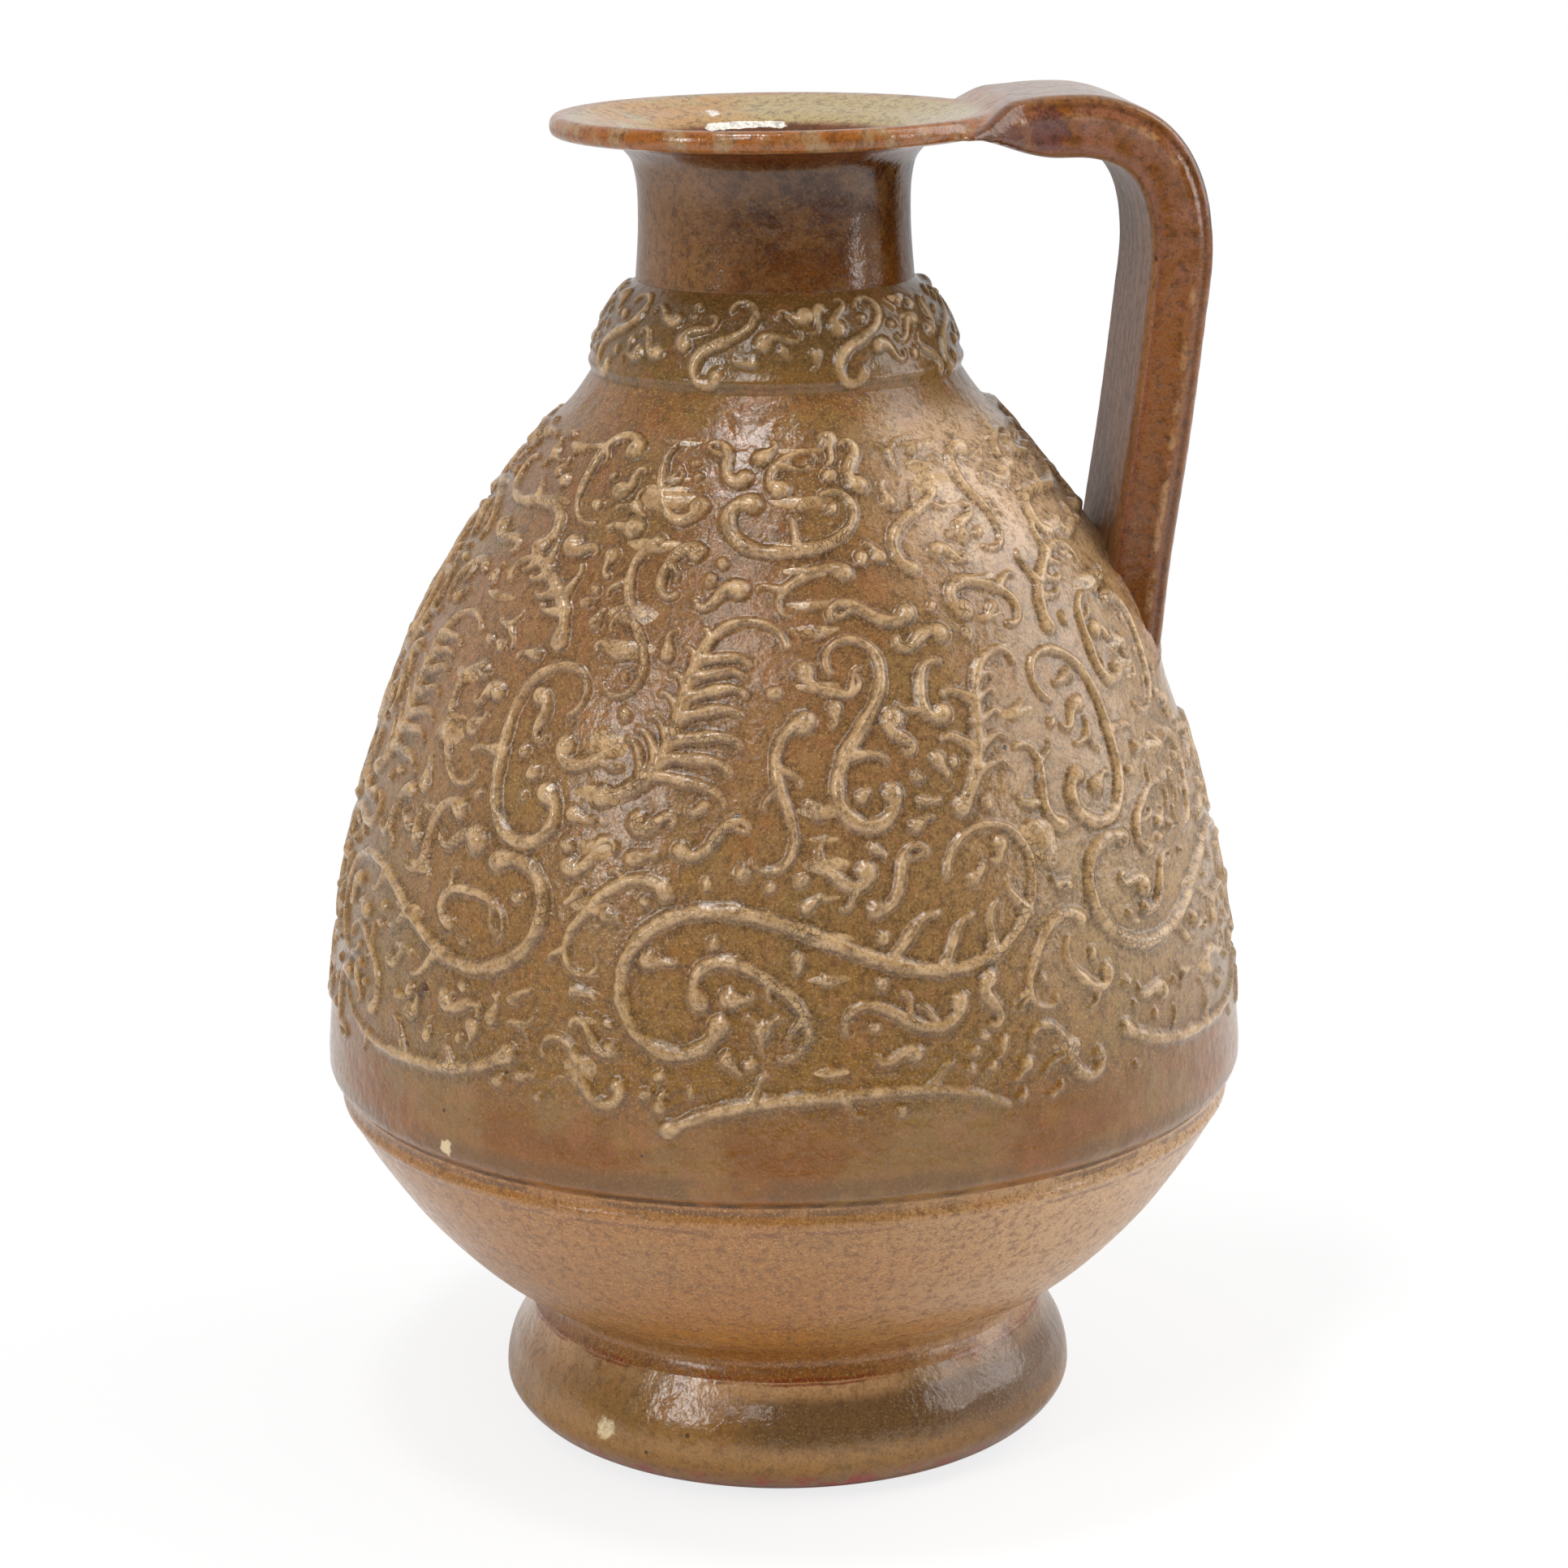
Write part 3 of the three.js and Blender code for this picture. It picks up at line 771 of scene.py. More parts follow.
# %% Draw the collar band over a rib
RIB_AT = 2.6
RIB_WIDTH = 1.3
RIB_HEIGHT = 0.6
COLLAR_COLUMNS = 80
collar_top = on_collar.height - 1.2
collar_field = Field(
    on_collar, COLLAR_SCROLLS * COLLAR_COLUMNS, CELL, 0.6, collar_top, COLLAR_TRAIL_HEIGHT
)
for i in range(COLLAR_SCROLLS):
    centre = (i + 0.5) * 2 * math.pi / COLLAR_SCROLLS
    collar_field.draw_motif(centre, collar_scroll, BORDER_SIZES, 1.2)
for shapes, tries, size in ((hook, 900, 0.8), (comma, 1000, 0.8), (dot, 900, 0.9)):
    made = fill(collar_field, shapes, tries, size, 1.0, 6, on_collar.height - 4, 0.8)
    print("filled on the collar", made)
collar_rib = RIB_HEIGHT * np.exp(-(((collar_field.along - RIB_AT) / RIB_WIDTH) ** 2))


# %% [markdown]
# ## Skins of slip
# Each half panel becomes a closed skin on the wall: a grid with the field's heights. Solidify would
# double its faces, so its two upright sides are bridged instead. The flat back that this gives lies
# a few millimetres deep inside the clay. At the upper and lower edge the skin dips under the wall
# and no edge shows. Three attributes go with it: how much slip a point has, how much glaze has
# pooled there together with painted shade at the trails' foot, and how thickly the handle's clay
# is spread over it.

# %% Rows and columns of a grid
SKIN_LIFT = 0.03
SKIN_EDGE = 5
SLIP_ANGLE = math.radians(60)
POOL_AND_SHADE_REACH = 1.8


def grid_rows_and_columns(mesh, rows, columns):
    co = vertex_vectors(mesh, "co") + 0.5
    return np.round(co[:, 1] * rows).astype(int), np.round(co[:, 0] * columns).astype(int)


# %% Close a skin behind
def close_behind(piece, sides):
    mesh = piece.data
    ends = np.empty(len(mesh.edges) * 2, int)
    mesh.edges.foreach_get("vertices", ends)
    ends = ends.reshape(-1, 2)
    bpy.context.tool_settings.mesh_select_mode = (False, True, False)
    mesh.polygons.foreach_set("select", np.zeros(len(mesh.polygons), bool))
    mesh.vertices.foreach_set("select", sides)
    mesh.edges.foreach_set("select", sides[ends].all(axis=1))
    bpy.ops.object.mode_set(mode="EDIT")
    bpy.ops.mesh.bridge_edge_loops()
    bpy.ops.mesh.select_all(action="SELECT")
    bpy.ops.mesh.fill_holes(sides=0)
    bpy.ops.mesh.select_all(action="SELECT")
    bpy.ops.mesh.normals_make_consistent(inside=False)
    object_mode()
    enclosed = sum(face.center.dot(face.normal) * face.area for face in mesh.polygons)
    if enclosed < 0:
        edit_mode()
        bpy.ops.mesh.flip_normals()
        object_mode()


# %% Bend a grid into a skin
def skin(name, field, first, last):
    columns = last - first
    rows = len(field.along) - 1
    deselect()
    bpy.ops.mesh.primitive_grid_add(x_subdivisions=columns, y_subdivisions=rows, size=1)
    piece = bpy.context.object
    piece.name = name
    mesh = piece.data
    row, col = grid_rows_and_columns(mesh, rows, columns)
    around = (first + col) % len(field.angles)
    along = field.along[row]
    edge = smoothstep(0, SKIN_EDGE, np.minimum(along - field.along[0], field.along[-1] - along))
    lift = field.height[row, around] + SKIN_LIFT * (3 * edge - 2)
    out, up = field.surface.normal(along)
    radius = field.surface.radius(along) + lift * out
    angle = (first + col) * 2 * math.pi / len(field.angles)
    z = field.surface.z(along) + lift * up
    labels = {"slip": field.slip, "pool": field.pool, "root": field.root}
    write_attributes(mesh, {label: values[row, around] for label, values in labels.items()})
    move_vertices(mesh, np.column_stack([radius * np.cos(angle), radius * np.sin(angle), z]))
    close_behind(piece, (col == 0) | (col == columns))
    bpy.ops.object.shade_smooth_by_angle(angle=SLIP_ANGLE)
    print(name, len(mesh.polygons), "faces")
    return piece


def finish_field(field):
    share = field.height / field.relief
    field.slip = smoothstep(0.22, 0.75, share)
    # The pooled glaze beside the trails also carries painted shade at their foot.
    near = blurred(np.clip(share, 0, 1), POOL_AND_SHADE_REACH / field.cell)
    field.pool = np.clip(near * 2.4, 0, 1) * (1 - field.slip)


# %% [markdown]
# A thumb presses the strap's lower end on the wall. It spreads the clay as a low tongue and leaves
# a fillet round the joint. Both are drawn on the body's field, from the same line and section as the
# strap itself, and they start a little inside the strap so that no gap shows.

# %% The pad round the strap's lower end
STRAP_STRAIGHT = 245
HIDDEN = 0.8
FILLET_HEIGHT = 1.7
FILLET_WIDTH = 2.6
FILLET_ENDS = (4, 9)
TONGUE_HEIGHT = 1.6
TONGUE_RADIUS = 26
TONGUE_MIDDLE = 188


def thumbed_root(field):
    reach = field.radius[:, None]
    x = reach * np.cos(field.angles)
    y = abs(reach * np.sin(field.angles))
    z = field.surface.z(field.along)[:, None]
    low = strap_line[:, 1] < STRAP_STRAIGHT
    line_x, line_z = strap_line[low][::-1].T
    middle = np.interp(z, line_z, line_x)
    along = np.interp(z, line_z, strap_lengths[low][::-1])
    root = smoothstep(strap_length - ROOT_LENGTH, strap_length, along)
    sideways = (y / (STRAP_WIDTH / 2)) ** 2
    outer = STRAP_HALF + STRAP_CROWN - (STRAP_CROWN + ROOT_ROUND * root) * sideways
    below = x - middle - outer * (1 + ROOT_THICKER * root) + HIDDEN
    above = middle - STRAP_HALF * (1 + ROOT_THICKER * root) + HIDDEN - x
    beside = y - STRAP_WIDTH / 2 * (1 + ROOT_WIDER * root) + HIDDEN
    off = np.hypot(np.maximum(beside, 0), 1.8 * np.maximum(np.maximum(below, above), 0))
    fillet = FILLET_HEIGHT * np.exp(-off / FILLET_WIDTH) * (1 - smoothstep(*FILLET_ENDS, off))
    from_middle = np.hypot(y / TONGUE_RADIUS, (z - TONGUE_MIDDLE) / TONGUE_RADIUS)
    tongue = TONGUE_HEIGHT * (1 - smoothstep(0, 1, from_middle))
    return np.where(x > 0, np.maximum(fillet, tongue), 0)


finish_field(body_field)
finish_field(collar_field)
root_pad = thumbed_root(body_field)
print("pad up to", round(root_pad.max(), 2), "mm high")
body_field.root = smoothstep(0, 1.5, root_pad)
collar_field.root = np.zeros(collar_field.height.shape)
body_field.height = body_field.height + root_pad
collar_field.height = np.maximum(collar_field.height, collar_rib[:, None])

# %% Make the skins
skins = [
    skin(f"slip_panel_{i + 1}", body_field, i * SECTOR_COLUMNS, (i + 1) * SECTOR_COLUMNS)
    for i in range(SECTORS)
]
collar_skins = [
    skin(f"slip_collar_{i + 1}", collar_field, i * COLLAR_COLUMNS, (i + 1) * COLLAR_COLUMNS)
    for i in range(COLLAR_SCROLLS)
]

# %% [markdown]
# ## Glazes
# All the glazes are one recipe: a ground colour that drifts between a warm and a cool tone, a fine
# grain of light and dark specks, a few pinholes, and a glassy top with a slight orange peel. The
# slip shows through as cream where the trails stand, and the glaze is darker where it has pooled
# beside them; that darkening also holds painted shade at the trails' foot.

# %% Node helpers
def srgb(text):
    values = [int(text[i : i + 2], 16) / 255 for i in (0, 2, 4)]
    linear = [v / 12.92 if v <= 0.04045 else ((v + 0.055) / 1.055) ** 2.4 for v in values]
    return (*linear, 1.0)


def add_node(tree, kind, inputs=None, **settings):
    made = tree.nodes.new("ShaderNode" + kind)
    for key, value in settings.items():
        setattr(made, key, value)
    for key, value in (inputs or {}).items():
        if isinstance(value, bpy.types.NodeSocket):
            tree.links.new(value, made.inputs[key])
        else:
            made.inputs[key].default_value = value
    return made


def maths(tree, operation, *values):
    return add_node(tree, "Math", dict(enumerate(values)), operation=operation).outputs[0]


def map_range(tree, value, low, high, to_low=0.0, to_high=1.0, kind="LINEAR"):
    ends = {"From Min": low, "From Max": high, "To Min": to_low, "To Max": to_high}
    made = add_node(tree, "MapRange", {"Value": value, **ends}, interpolation_type=kind)
    return made.outputs["Result"]


# %% [markdown]
# A mixer holds one glaze while it is mixed. It measures the place on the jug: x, y and the height,
# and the reach from the axis. It also holds the colour so far, and each call of lay puts one more
# tone over it, as thickly as the product of the shares. Fades and marks are given in millimetres.

# %% A mixer for one glaze
class Mixer:
    def __init__(self, name):
        self.material = bpy.data.materials.new(name)
        self.material.use_nodes = True
        self.tree = self.material.node_tree
        self.place = self.node("TexCoord").outputs["Object"]
        self.x, self.y, self.height = self.node("SeparateXYZ", {"Vector": self.place}).outputs
        flat = self.scaled((1, 1, 0))
        self.reach = self.node("VectorMath", {0: flat}, operation="LENGTH").outputs["Value"]

    def node(self, kind, inputs=None, **settings):
        return add_node(self.tree, kind, inputs, **settings)

    def maths(self, operation, *values):
        return maths(self.tree, operation, *values)

    def times(self, share, *others):
        for other in others:
            share = self.maths("MULTIPLY", share, other)
        return share

    def blend(self, share, a, b):
        return self.node("Mix", {0: share, 6: a, 7: b}, data_type="RGBA").outputs[2]

    def lay(self, tone, *shares):
        over = srgb(tone) if isinstance(tone, str) else tone
        self.colour = self.blend(self.times(*shares), self.colour, over)

    def scaled(self, scale):
        made = self.node("VectorMath", {0: self.place, 1: scale}, operation="MULTIPLY")
        return made.outputs["Vector"]

    def attribute(self, label):
        return self.node("Attribute", attribute_name=label).outputs["Fac"]

    def ramp(self, value, low, high):
        return map_range(self.tree, value, low, high, kind="SMOOTHSTEP")

    def fade(self, value, low, high):
        return self.ramp(value, low * MM, high * MM)

    def between(self, value, rise, fall):
        return self.times(self.fade(value, *rise), self.fade(value, *fall))

    def noise(self, scale, detail=3.0, roughness=0.55, place=None):
        settings = {"Scale": scale, "Detail": detail, "Roughness": roughness}
        where = self.place if place is None else place
        return self.node("TexNoise", {"Vector": where, **settings}).outputs["Fac"]

    def patches(self, scale, detail, low, high, roughness=0.55):
        return self.ramp(self.noise(scale, detail, roughness), low, high)

    def spots(self, scale, edge, core, feature="F1"):
        made = self.node("TexVoronoi", {"Vector": self.place, "Scale": scale}, feature=feature)
        return self.ramp(made.outputs["Distance"], edge, core)

    def bump(self, height, strength, depth, under=None):
        inputs = {"Height": height, "Strength": strength, "Distance": depth * MM}
        if under is not None:
            inputs["Normal"] = under
        return self.node("Bump", inputs).outputs["Normal"]


# %% [markdown]
# Some colours belong to a place: a thin line in a seam, a chip, a stain or a pinhole. A ring is a
# band round the jug at one height, and a mark is a ragged spot at an angle, a radius and a height.

# %% Rings and marks
def ring(mix, z, half_width, tone, share):
    sway = mix.maths("MULTIPLY_ADD", mix.noise(120), 1.2 * MM, -(z + 0.6) * MM)
    off = mix.maths("ABSOLUTE", mix.maths("ADD", mix.height, sway))
    broken = mix.patches(60, 3, 0.38, 0.52)
    mix.lay(tone, mix.fade(off, half_width, 0.3 * half_width), broken, share)


def mark(mix, angle, radius, z, size, tone, share=0.9):
    turn = math.radians(angle)
    spot = (radius * math.cos(turn) * MM, radius * math.sin(turn) * MM, z * MM)
    off = mix.node("VectorMath", {0: mix.place, 1: spot}, operation="DISTANCE").outputs["Value"]
    ragged = mix.maths("MULTIPLY_ADD", mix.noise(420, 4), 1.4 * size * MM, off)
    mix.lay(tone, mix.fade(ragged, 1.6 * size, 1.3 * size), share)


# %% The ground colour, in bands up the wall
def bands(mix, stops, jitter):
    moved = mix.maths("MULTIPLY_ADD", mix.noise(28), jitter * 2 * MM, mix.height)
    low = stops[0][0] - jitter
    high = stops[-1][0] + 3 * jitter
    made = mix.node("ValToRGB", {"Fac": map_range(mix.tree, moved, low * MM, high * MM)})
    marks = made.color_ramp.elements
    while len(marks) < len(stops):
        marks.new(0.5)
    for mark_on_ramp, (z, colour) in zip(marks, stops):
        mark_on_ramp.position = (z + jitter - low) / (high - low)
        mark_on_ramp.color = srgb(colour)
    return made.outputs["Color"]


# %% The glaze recipe
PINHOLE = "24180f"
SMOOTH_OVER = 12
FINE_DEPTH = 0.12
# Each wave of the orange peel has a scale, a strength and a depth.
WAVES = ((700, 1.6, 0.2), (300, 1.8, 0.4), (120, 2.2, 0.8))
DULL = 0.3


def glaze(
    name, stops, tones, layers, roughness, grain, peel, jitter, slip=0.0, smooth_below=-1, dull=None
):
    warm, cool, dark, pale = tones
    mix = Mixer(name)
    mix.colour = bands(mix, stops, jitter)
    mix.lay(cool, mix.patches(34, 4, 0.5, 0.62), 0.5)
    mix.lay(warm, mix.patches(110, 5, 0.54, 0.68, 0.6), 0.5)
    layers(mix)
    mottle = mix.noise(480, 5, 0.7)
    fine = mix.noise(1500, 4, 0.8)
    light = mix.noise(1800, 3, 0.8)
    zone = mix.fade(mix.height, smooth_below, smooth_below + SMOOTH_OVER)
    sandy = mix.maths("MULTIPLY_ADD", zone, 0.6, 0.4)
    for value, low, high, share, tone in (
        (mottle, 0.48, 0.64, 0.5, dark),
        (fine, 0.5, 0.62, 0.5, dark),
        (light, 0.52, 0.66, 0.4, pale),
    ):
        mix.lay(tone, mix.ramp(value, low, high), share * grain, sandy)
    mix.lay(PINHOLE, mix.spots(75, 0.05, 0.025), 0.8)
    normal = mix.bump(fine, peel, FINE_DEPTH)
    for scale, strength, depth in WAVES:
        normal = mix.bump(mix.noise(scale, 4), min(peel * strength, 1), depth, normal)
    rough = map_range(mix.tree, mottle, 0.3, 0.7, roughness * 0.6, roughness * 1.5)
    if slip:
        rough = mix.maths("MULTIPLY_ADD", mix.attribute("slip"), -slip, rough)
    if dull:
        rough = mix.maths("MULTIPLY_ADD", mix.attribute(dull), DULL, rough)
    shader = mix.tree.nodes["Principled BSDF"]
    shader.inputs["IOR"].default_value = 1.5
    for socket, value in (("Base Color", mix.colour), ("Normal", normal), ("Roughness", rough)):
        mix.tree.links.new(value, shader.inputs[socket])
    return mix.material


# %% Slip, pooled glaze with painted shade, crackle, and a right side made paler as painted light
def trailed(mix):
    mix.lay("95593a", mix.patches(190, 4, 0.5, 0.62), 0.22)
    # Painted light: the wall is painted paler on the right, from the frieze up through the collar, and
    # paler still on the right of the shoulder, where the right-hand lamps light it.
    mix.lay("b5966c", mix.fade(mix.x, 8, 70), mix.fade(mix.height, 98, 130), 0.5)
    lit_shoulder_band = mix.between(mix.height, (190, 216), (234, 226))
    mix.lay("cfae8c", mix.fade(mix.x, 6, 36), lit_shoulder_band, 0.9)
    # Painted shade: the glaze darkens beside the trails, partly where it has pooled and partly as the
    # shade at their foot.
    pool = mix.attribute("pool")
    mix.lay("6c5030", pool, 0.35)
    mix.lay("443020", pool, mix.patches(820, 4, 0.47, 0.56, 0.8), 0.85)
    slip = mix.attribute("slip")
    thin = mix.patches(260, 3, 0.38, 0.62)
    mix.lay(mix.blend(thin, srgb("a88860"), srgb("cdac82")), slip, 0.7)
    crack = mix.spots(700, 0.1, 0.03, "DISTANCE_TO_EDGE")
    aged = mix.patches(70, 3, 0.52, 0.6)
    mix.lay("3d2a1b", crack, aged, mix.maths("MAXIMUM", slip, pool), 0.7)


# %% Body: the thumbed root, the seam, a chip, a stain and pinholes
BODY_PINHOLES = [(-130.5, 49.7, 222.9), (-75.7, 87.1, 157), (-101.3, 86.4, 159), (-62.8, 83, 168.4)]


def body_tones(mix):
    trailed(mix)
    mix.lay("7a4818", mix.attribute("root"), 0.75)
    ring(mix, 85.6, 3.4, "64441f", 0.7)
    ring(mix, 81.8, 1.1, "4a2e16", 0.9)
    mark(mix, -139.5, 100.3, 86, 2.2, "d6bf95")
    mark(mix, -145, 97, 116.8, 2.4, "43201a")
    for pinhole in BODY_PINHOLES:
        mark(mix, *pinhole, 0.8, "1c130d", 1.0)


# %% Foot and bowl
def foot_tones(mix):
    rust = mix.patches(130, 5, 0.48, 0.56, 0.7)
    mix.lay("9a2c14", mix.fade(mix.height, 9, 5), rust)
    belt = mix.between(mix.height, (12, 16), (25, 22))
    # Painted light and shade: the darker belt is left off the left side, which stays lighter, and the
    # right side is painted darker.
    mix.lay("553f28", mix.fade(mix.x, -24, -8), belt, 0.75)
    mix.lay("5c3a18", mix.fade(mix.x, 8, 44), 0.5)
    ring(mix, 26.4, 0.4, "7a2a14", 0.7)
    mark(mix, -134.2, 63, 13.4, 3.0, "dcc79c")


def bowl_tones(mix):
    drawn = mix.noise(520, 5, 0.7, mix.scaled((0.06, 0.06, 1)))
    mix.lay("865a2c", mix.ramp(drawn, 0.5, 0.62), 0.3)
    mix.lay("4a2c14", mix.spots(120, 0.07, 0.04), 0.8)
    # Painted light: the bowl is painted paler towards the right.
    mix.lay("c8a478", mix.fade(mix.x, -10, 60), 0.5)
    ring(mix, 40.2, 0.5, "6a4220", 0.5)
    ring(mix, 27.2, 0.5, "7a2a14", 0.8)
    ring(mix, 79.8, 0.9, "5a3a1a", 0.8)
    ring(mix, 75.4, 0.6, "6e4022", 0.75)


# %% Neck and rim
def neck_tones(mix):
    on_neck = mix.times(mix.fade(mix.height, 283, 279), mix.fade(mix.reach, 34, 32))
    mix.lay("74502a", on_neck, mix.patches(130, 5, 0.46, 0.58, 0.7), 0.5)
    # Painted reflection: the neck is painted lighter on the left.
    mix.lay("8a6440", on_neck, mix.fade(mix.x, -6, -22), 0.6)


def rim_tones(mix, streaks):
    on_rim = mix.times(mix.fade(mix.height, 283.2, 284.6), mix.fade(mix.reach, 50, 47.4))
    mix.lay("985a24", on_rim, 0.85)
    mix.lay("9a8462", on_rim, mix.ramp(streaks, 0.46, 0.62), 0.6)
    dish = mix.times(on_rim, mix.fade(mix.reach, 45, 41))
    mix.lay("ab996c", dish, 0.9)
    left = mix.fade(mix.x, 4, -12)
    mix.lay("b07a40", dish, left, mix.patches(55, 3, 0.44, 0.58), 0.7)


# Pale residue has dried in the bend of the throat at the back.
def residue_tones(mix):
    bend = mix.between(mix.reach, (26.6, 28.2), (30.8, 28.8))
    arc = mix.between(mix.x, (-16, -11), (9, 4))
    dried = mix.times(bend, arc, mix.fade(mix.y, 18, 22))
    crumbs = mix.maths("MULTIPLY_ADD", dried, 0.6, mix.noise(200, 4))
    mix.lay("efe7dc", mix.ramp(crumbs, 0.92, 1.0))
    mark(mix, 107.5, 33.7, 286, 2.0, "efe7dc")


# %% The strap: its sides, its inner face and its level top
def strap_tones(mix, streaks):
    side = mix.attribute("strap_side")
    across = mix.attribute("strap_across")
    higher = mix.fade(mix.height, 180, 240)
    mix.lay(mix.blend(higher, srgb("6a3a0c"), srgb("7e4814")), side, 0.75)
    top = mix.fade(mix.height, 236, 272)
    mix.lay("8c5a46", side, top, mix.ramp(streaks, 0.42, 0.56), 0.6)
    mix.lay("7a3a22", side, mix.fade(across, -3.6, -5.2), 0.7)
    # The ridge is paler where the glaze runs thin over it, and the patches along it are painted
    # highlights.
    ridge_glints = mix.between(across, (1.2, 2.2), (3.5, 2.6))
    mix.lay("b58a5e", side, ridge_glints, mix.patches(210, 5, 0.42, 0.6), 0.6)
    mix.lay("54301a", side, mix.between(across, (3.7, 4.4), (5.4, 4.7)), 0.6)
    along = mix.times(mix.attribute("strap_along"), 0.06)
    lanes = mix.node("CombineXYZ", {"X": mix.y, "Y": along}).outputs["Vector"]
    lane = mix.ramp(mix.noise(420, 4, place=lanes), 0.4, 0.6)
    drawn = mix.blend(lane, srgb("6a4426"), srgb("8e6038"))
    mix.lay(drawn, mix.attribute("strap_inner"), 0.85)
    level = mix.times(mix.attribute("strap_outer"), mix.fade(mix.height, 283, 289))
    mix.lay("80562c", level, 0.75)
    mix.lay("5b3d2e", level, mix.spots(190, 0.2, 0.1))
    mark(mix, -21.4, 59, 286, 5.5, "542c30", 0.7)
    mark(mix, -28, 52, 284, 5.0, "5a3028", 0.6)


def throat_tones(mix):
    streaks = mix.noise(150, 4)
    neck_tones(mix)
    rim_tones(mix, streaks)
    residue_tones(mix)
    strap_tones(mix, streaks)


# %% Mix the glazes
# Each stop is a height in millimetres and the ground colour there.
FOOT_STOPS = [
    (1, "82492a"), (6, "8f642c"), (12, "986e38"), (17, "8a6434"), (21, "946a3c"), (26, "b58c60"),
]
BOWL_STOPS = [(29, "8c5820"), (38, "925e24"), (41, "a26a2e"), (60, "9a6834"), (76, "9c6c3a")]
BODY_STOPS = [
    (82, "804c08"), (92, "724204"), (106, "7e5822"), (150, "8c6840"), (190, "865e3a"),
    (228, "744c24"),
]
COLLAR_STOPS = [(234, "7b5422"), (242, "684c26"), (252, "624420")]
THROAT_STOPS = [
    (120, "6e3a0c"), (200, "784310"), (250, "764212"), (258, "5a3008"), (268, "482204"),
    (279, "341402"), (286, "784224"),
]
# The four tones are warm, cool, dark and pale.
foot_glaze = glaze(
    "foot_glaze", FOOT_STOPS, ("8e5e2c", "785c34", "46301a", "b48c54"), foot_tones,
    roughness=0.09, grain=0.8, peel=0.3, jitter=1.5,
)
bowl_glaze = glaze(
    "bowl_glaze", BOWL_STOPS, ("a0662c", "906a3e", "6c4420", "c89c64"), bowl_tones,
    roughness=0.22, grain=1.5, peel=0.2, jitter=3.0,
)
body_glaze = glaze(
    "body_glaze", BODY_STOPS, ("8a5e28", "82683c", "48321a", "b8965e"), body_tones,
    roughness=0.17, grain=1.1, peel=0.34, jitter=5.0, slip=0.06, smooth_below=94,
)
collar_glaze = glaze(
    "collar_glaze", COLLAR_STOPS, ("724a20", "645230", "362812", "ac8a56"), trailed,
    roughness=0.15, grain=0.8, peel=0.24, jitter=5.0, slip=0.05,
)
throat_glaze = glaze(
    "throat_glaze", THROAT_STOPS, ("6c3c0c", "482810", "221206", "8a6430"), throat_tones,
    roughness=0.14, grain=0.9, peel=0.18, jitter=3.0, dull="strap_inner",
)
print("glazes", 5)

# %% Put the glazes on
def dress(piece, material, slot, *nodes):
    piece.data.materials.clear()
    piece.data.materials.append(material)
    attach(piece, "root")
    if nodes:
        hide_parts(*nodes)


dress(foot, foot_glaze, "foot_glaze", "foot_ring")
dress(bowl, bowl_glaze, "bowl_glaze", "lower_bowl")
dress(body, body_glaze, "body_glaze", "upper_body")
dress(collar, collar_glaze, "collar_glaze", "collar")
dress(throat, throat_glaze, "handle_glaze", "neck", "mouth_rim", "handle_strap")
for i, piece in enumerate(skins):
    dress(piece, body_glaze, "slip", *slip_nodes[i // 2][i % 2 :: 2])
for i, piece in enumerate(collar_skins):
    dress(piece, collar_glaze, "slip", f"slip_collar_scroll_{i + 1}")
print("dressed", len(skins) + len(collar_skins) + 5, "pieces")

# %% [markdown]
# ## Camera, light and floor
# The camera stands where the photograph's did: worked out from the ellipses of the rim, the seam
# and the foot. The light is that of a white studio: two tall windows on the left, a large soft lamp
# and a tall strip on the right, and a small lamp above.

# %% Camera
SENSOR = 36
CAMERA_DISTANCE = 861.5
CAMERA_HEIGHT = 366.6
CAMERA_TURN = math.radians(5.5)
CAMERA_PITCH = 0.2536
CAMERA_ROLL = -0.0116
FOCAL_PIXELS = 5019
AIM_PIXELS = 3.8
FRAME_PIXELS = 1932


def placed_object(name, data, place):
    made = bpy.data.objects.new(name, data)
    bpy.context.scene.collection.objects.link(made)
    made.location = place
    return made


camera_data = bpy.data.cameras.new("camera")
camera_data.sensor_width = SENSOR
camera_data.lens = FOCAL_PIXELS / FRAME_PIXELS * SENSOR
behind = -CAMERA_DISTANCE * MM
camera_place = (behind * math.sin(CAMERA_TURN), behind * math.cos(CAMERA_TURN), CAMERA_HEIGHT * MM)
camera = placed_object("camera", camera_data, camera_place)
turn = Matrix.Rotation(-CAMERA_TURN - AIM_PIXELS / FOCAL_PIXELS, 4, "Z")
tilt = Matrix.Rotation(math.pi / 2 - CAMERA_PITCH, 4, "X")
roll = Matrix.Rotation(CAMERA_ROLL, 4, "Z")
camera.matrix_world = Matrix.Translation(camera.location) @ turn @ tilt @ roll
bpy.context.scene.camera = camera
print("lens", round(camera_data.lens, 1), "mm")


# %% Lamps
LAMP_AIM = Vector((0, 0, 0.16))
# Each lamp has a name, a place and a size in metres, and a power in watts.
LAMPS = [
    ("left_window", (-0.95, -0.75, 0.66), (0.14, 0.5), 4.4),
    ("high_window", (-0.38, -0.8, 1.05), (0.1, 0.6), 3.0),
    ("right_window", (1.1, 0.1, 0.8), (0.9, 1.4), 9.5),
    ("right_strip", (1.1, -0.5, 0.45), (0.05, 0.6), 2.0),
    ("ceiling", (-0.2, -0.24, 1.3), (0.2, 0.2), 4.8),
]


def lamp(name, place, size, power):
    data = bpy.data.lights.new(name, "AREA")
    data.shape = "ELLIPSE"
    data.size, data.size_y = size
    data.energy = power
    light = placed_object(name, data, place)
    aim = LAMP_AIM - light.location
    light.rotation_euler = aim.to_track_quat("-Z", "Y").to_euler()


for row in LAMPS:
    lamp(*row)
print("lamps", len(LAMPS))

# %% [markdown]
# The camera sees a white world. What the glaze mirrors and what lights the clay are set apart from
# it: the mirrored room is dim in front and on the left, and bright at the back and on the right.

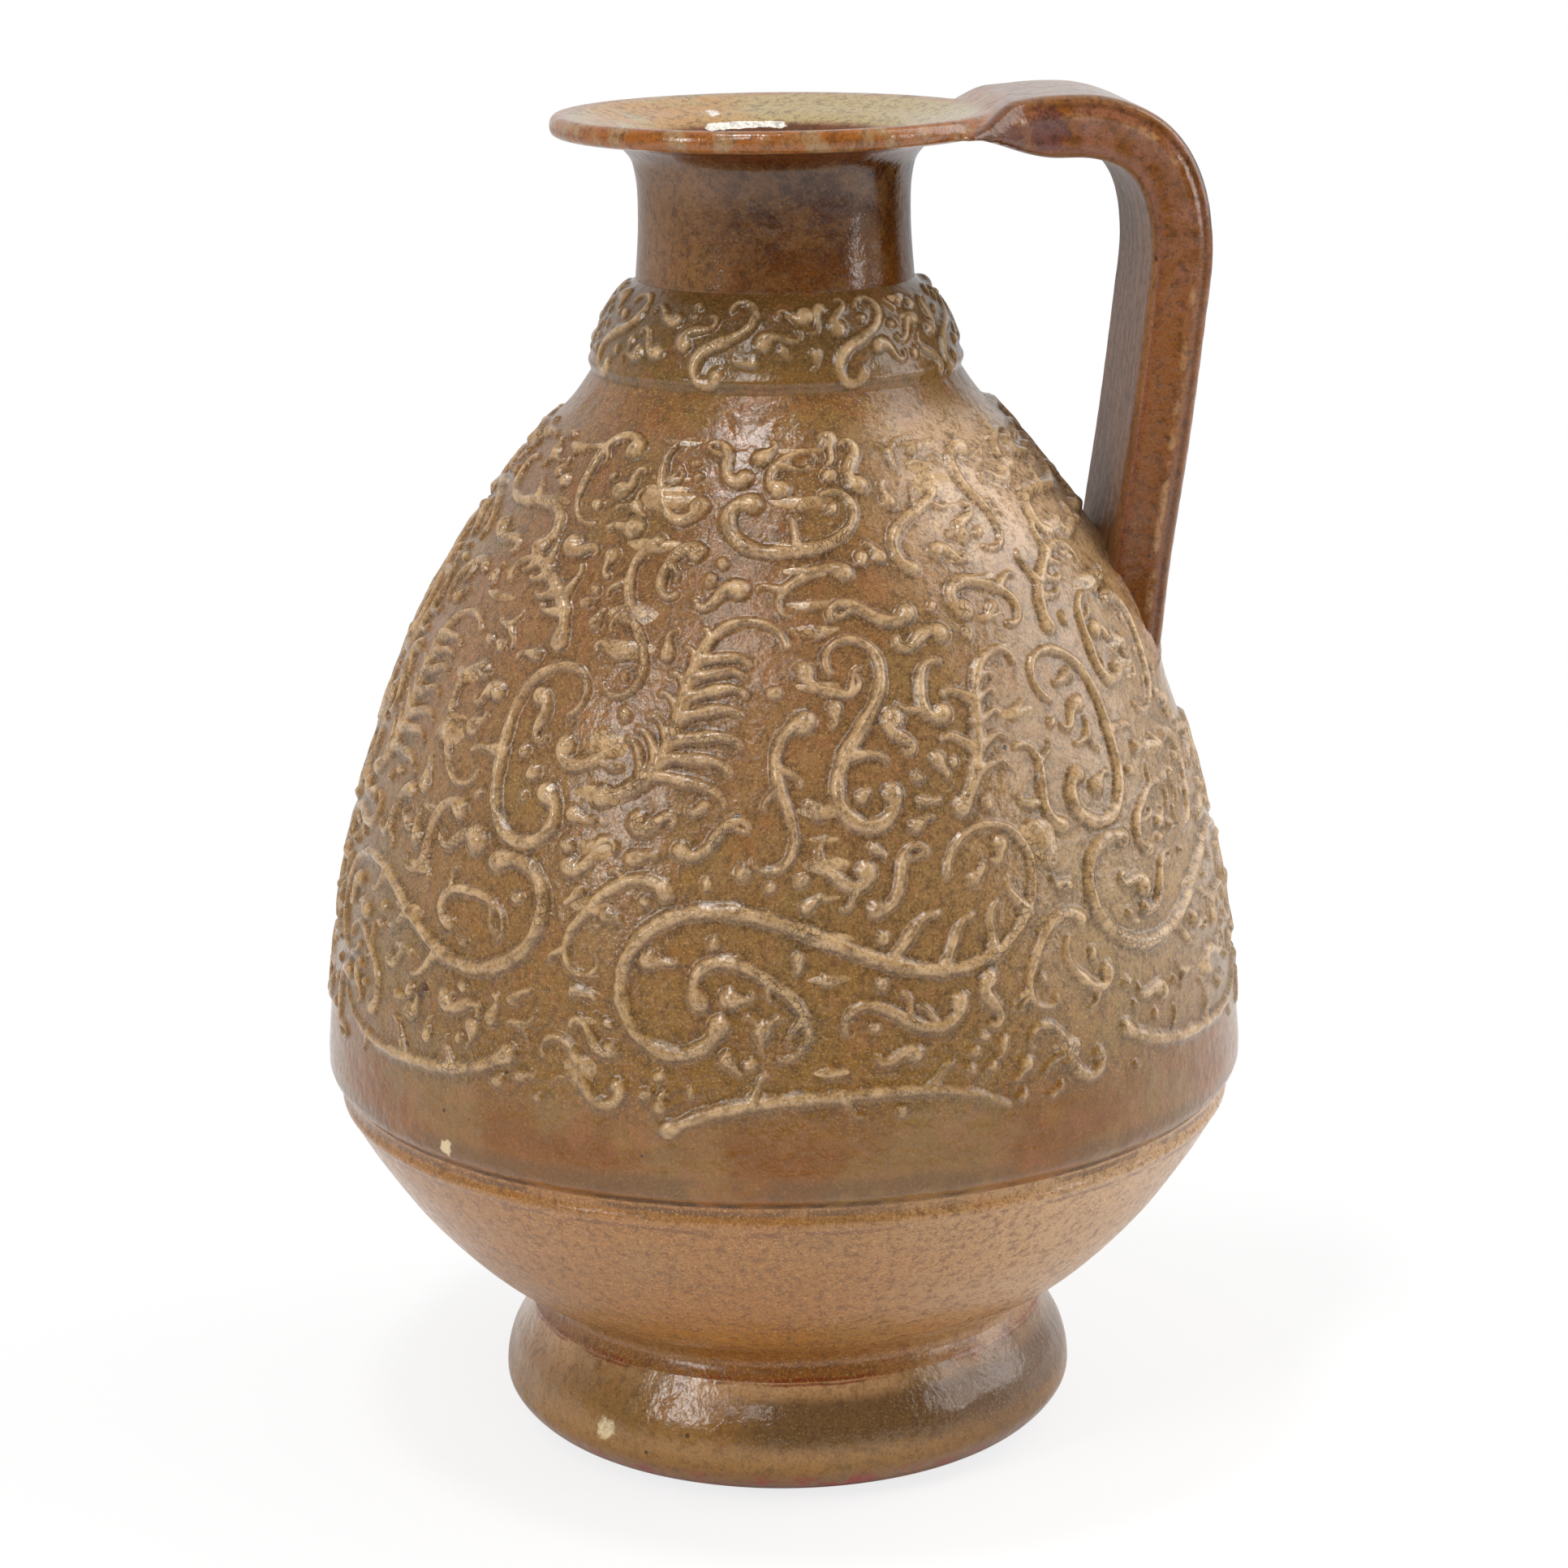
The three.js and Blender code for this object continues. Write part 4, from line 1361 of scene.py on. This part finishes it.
# %% World
world = bpy.data.worlds.new("studio")
bpy.context.scene.world = world
world.use_nodes = True
tree = world.node_tree
background = tree.nodes["Background"]
rays = add_node(tree, "LightPath").outputs
in_view = rays["Is Camera Ray"]
mirrored = maths(tree, "MAXIMUM", rays["Is Glossy Ray"], rays["Is Transmission Ray"])
direction = add_node(tree, "TexCoord").outputs["Generated"]
right, depth, _ = add_node(tree, "SeparateXYZ", {0: direction}).outputs
rightwards = maths(tree, "MULTIPLY_ADD", right, 0.2, depth)
backdrop = map_range(tree, rightwards, -0.4, 0.45, 0.12, 0.82, "SMOOTHSTEP")
ambient = map_range(tree, depth, -0.8, 0.8, 0.4, 0.76)
seen = maths(tree, "MAXIMUM", in_view, maths(tree, "MULTIPLY", mirrored, backdrop))
any_view = maths(tree, "MAXIMUM", in_view, mirrored)
lit = add_node(tree, "Mix", {0: any_view, 2: ambient, 3: seen}).outputs[0]
tree.links.new(lit, background.inputs["Strength"])
background.inputs["Color"].default_value = (1, 1, 1, 1)
print("world nodes", len(tree.nodes))

# %% Floor
NEAR_FLOOR = 0.16
FAR_FLOOR = 0.55
deselect()
bpy.ops.mesh.primitive_plane_add(size=8, location=(0, 0, 0))
floor = bpy.context.object
floor.name = "floor"
floor_material = bpy.data.materials.new("floor_white")
floor_material.use_nodes = True
tree = floor_material.node_tree
matt = tree.nodes["Principled BSDF"]
matt.inputs["Base Color"].default_value = (0.9, 0.9, 0.9, 1)
matt.inputs["Roughness"].default_value = 0.9
matt.inputs["Specular IOR Level"].default_value = 0.0
spot = add_node(tree, "TexCoord").outputs["Object"]
away = add_node(tree, "VectorMath", {0: spot}, operation="LENGTH").outputs["Value"]
whiter = map_range(tree, away, NEAR_FLOOR, FAR_FLOOR, 0.8, 1.0)
seen = maths(tree, "MULTIPLY", add_node(tree, "LightPath").outputs["Is Camera Ray"], whiter)
white = add_node(tree, "Emission")
mixed = add_node(tree, "MixShader", {0: seen, 1: matt.outputs[0], 2: white.outputs[0]})
tree.links.new(mixed.outputs[0], tree.nodes["Material Output"].inputs["Surface"])
floor.data.materials.append(floor_material)
bpy.context.scene.view_settings.view_transform = "Standard"
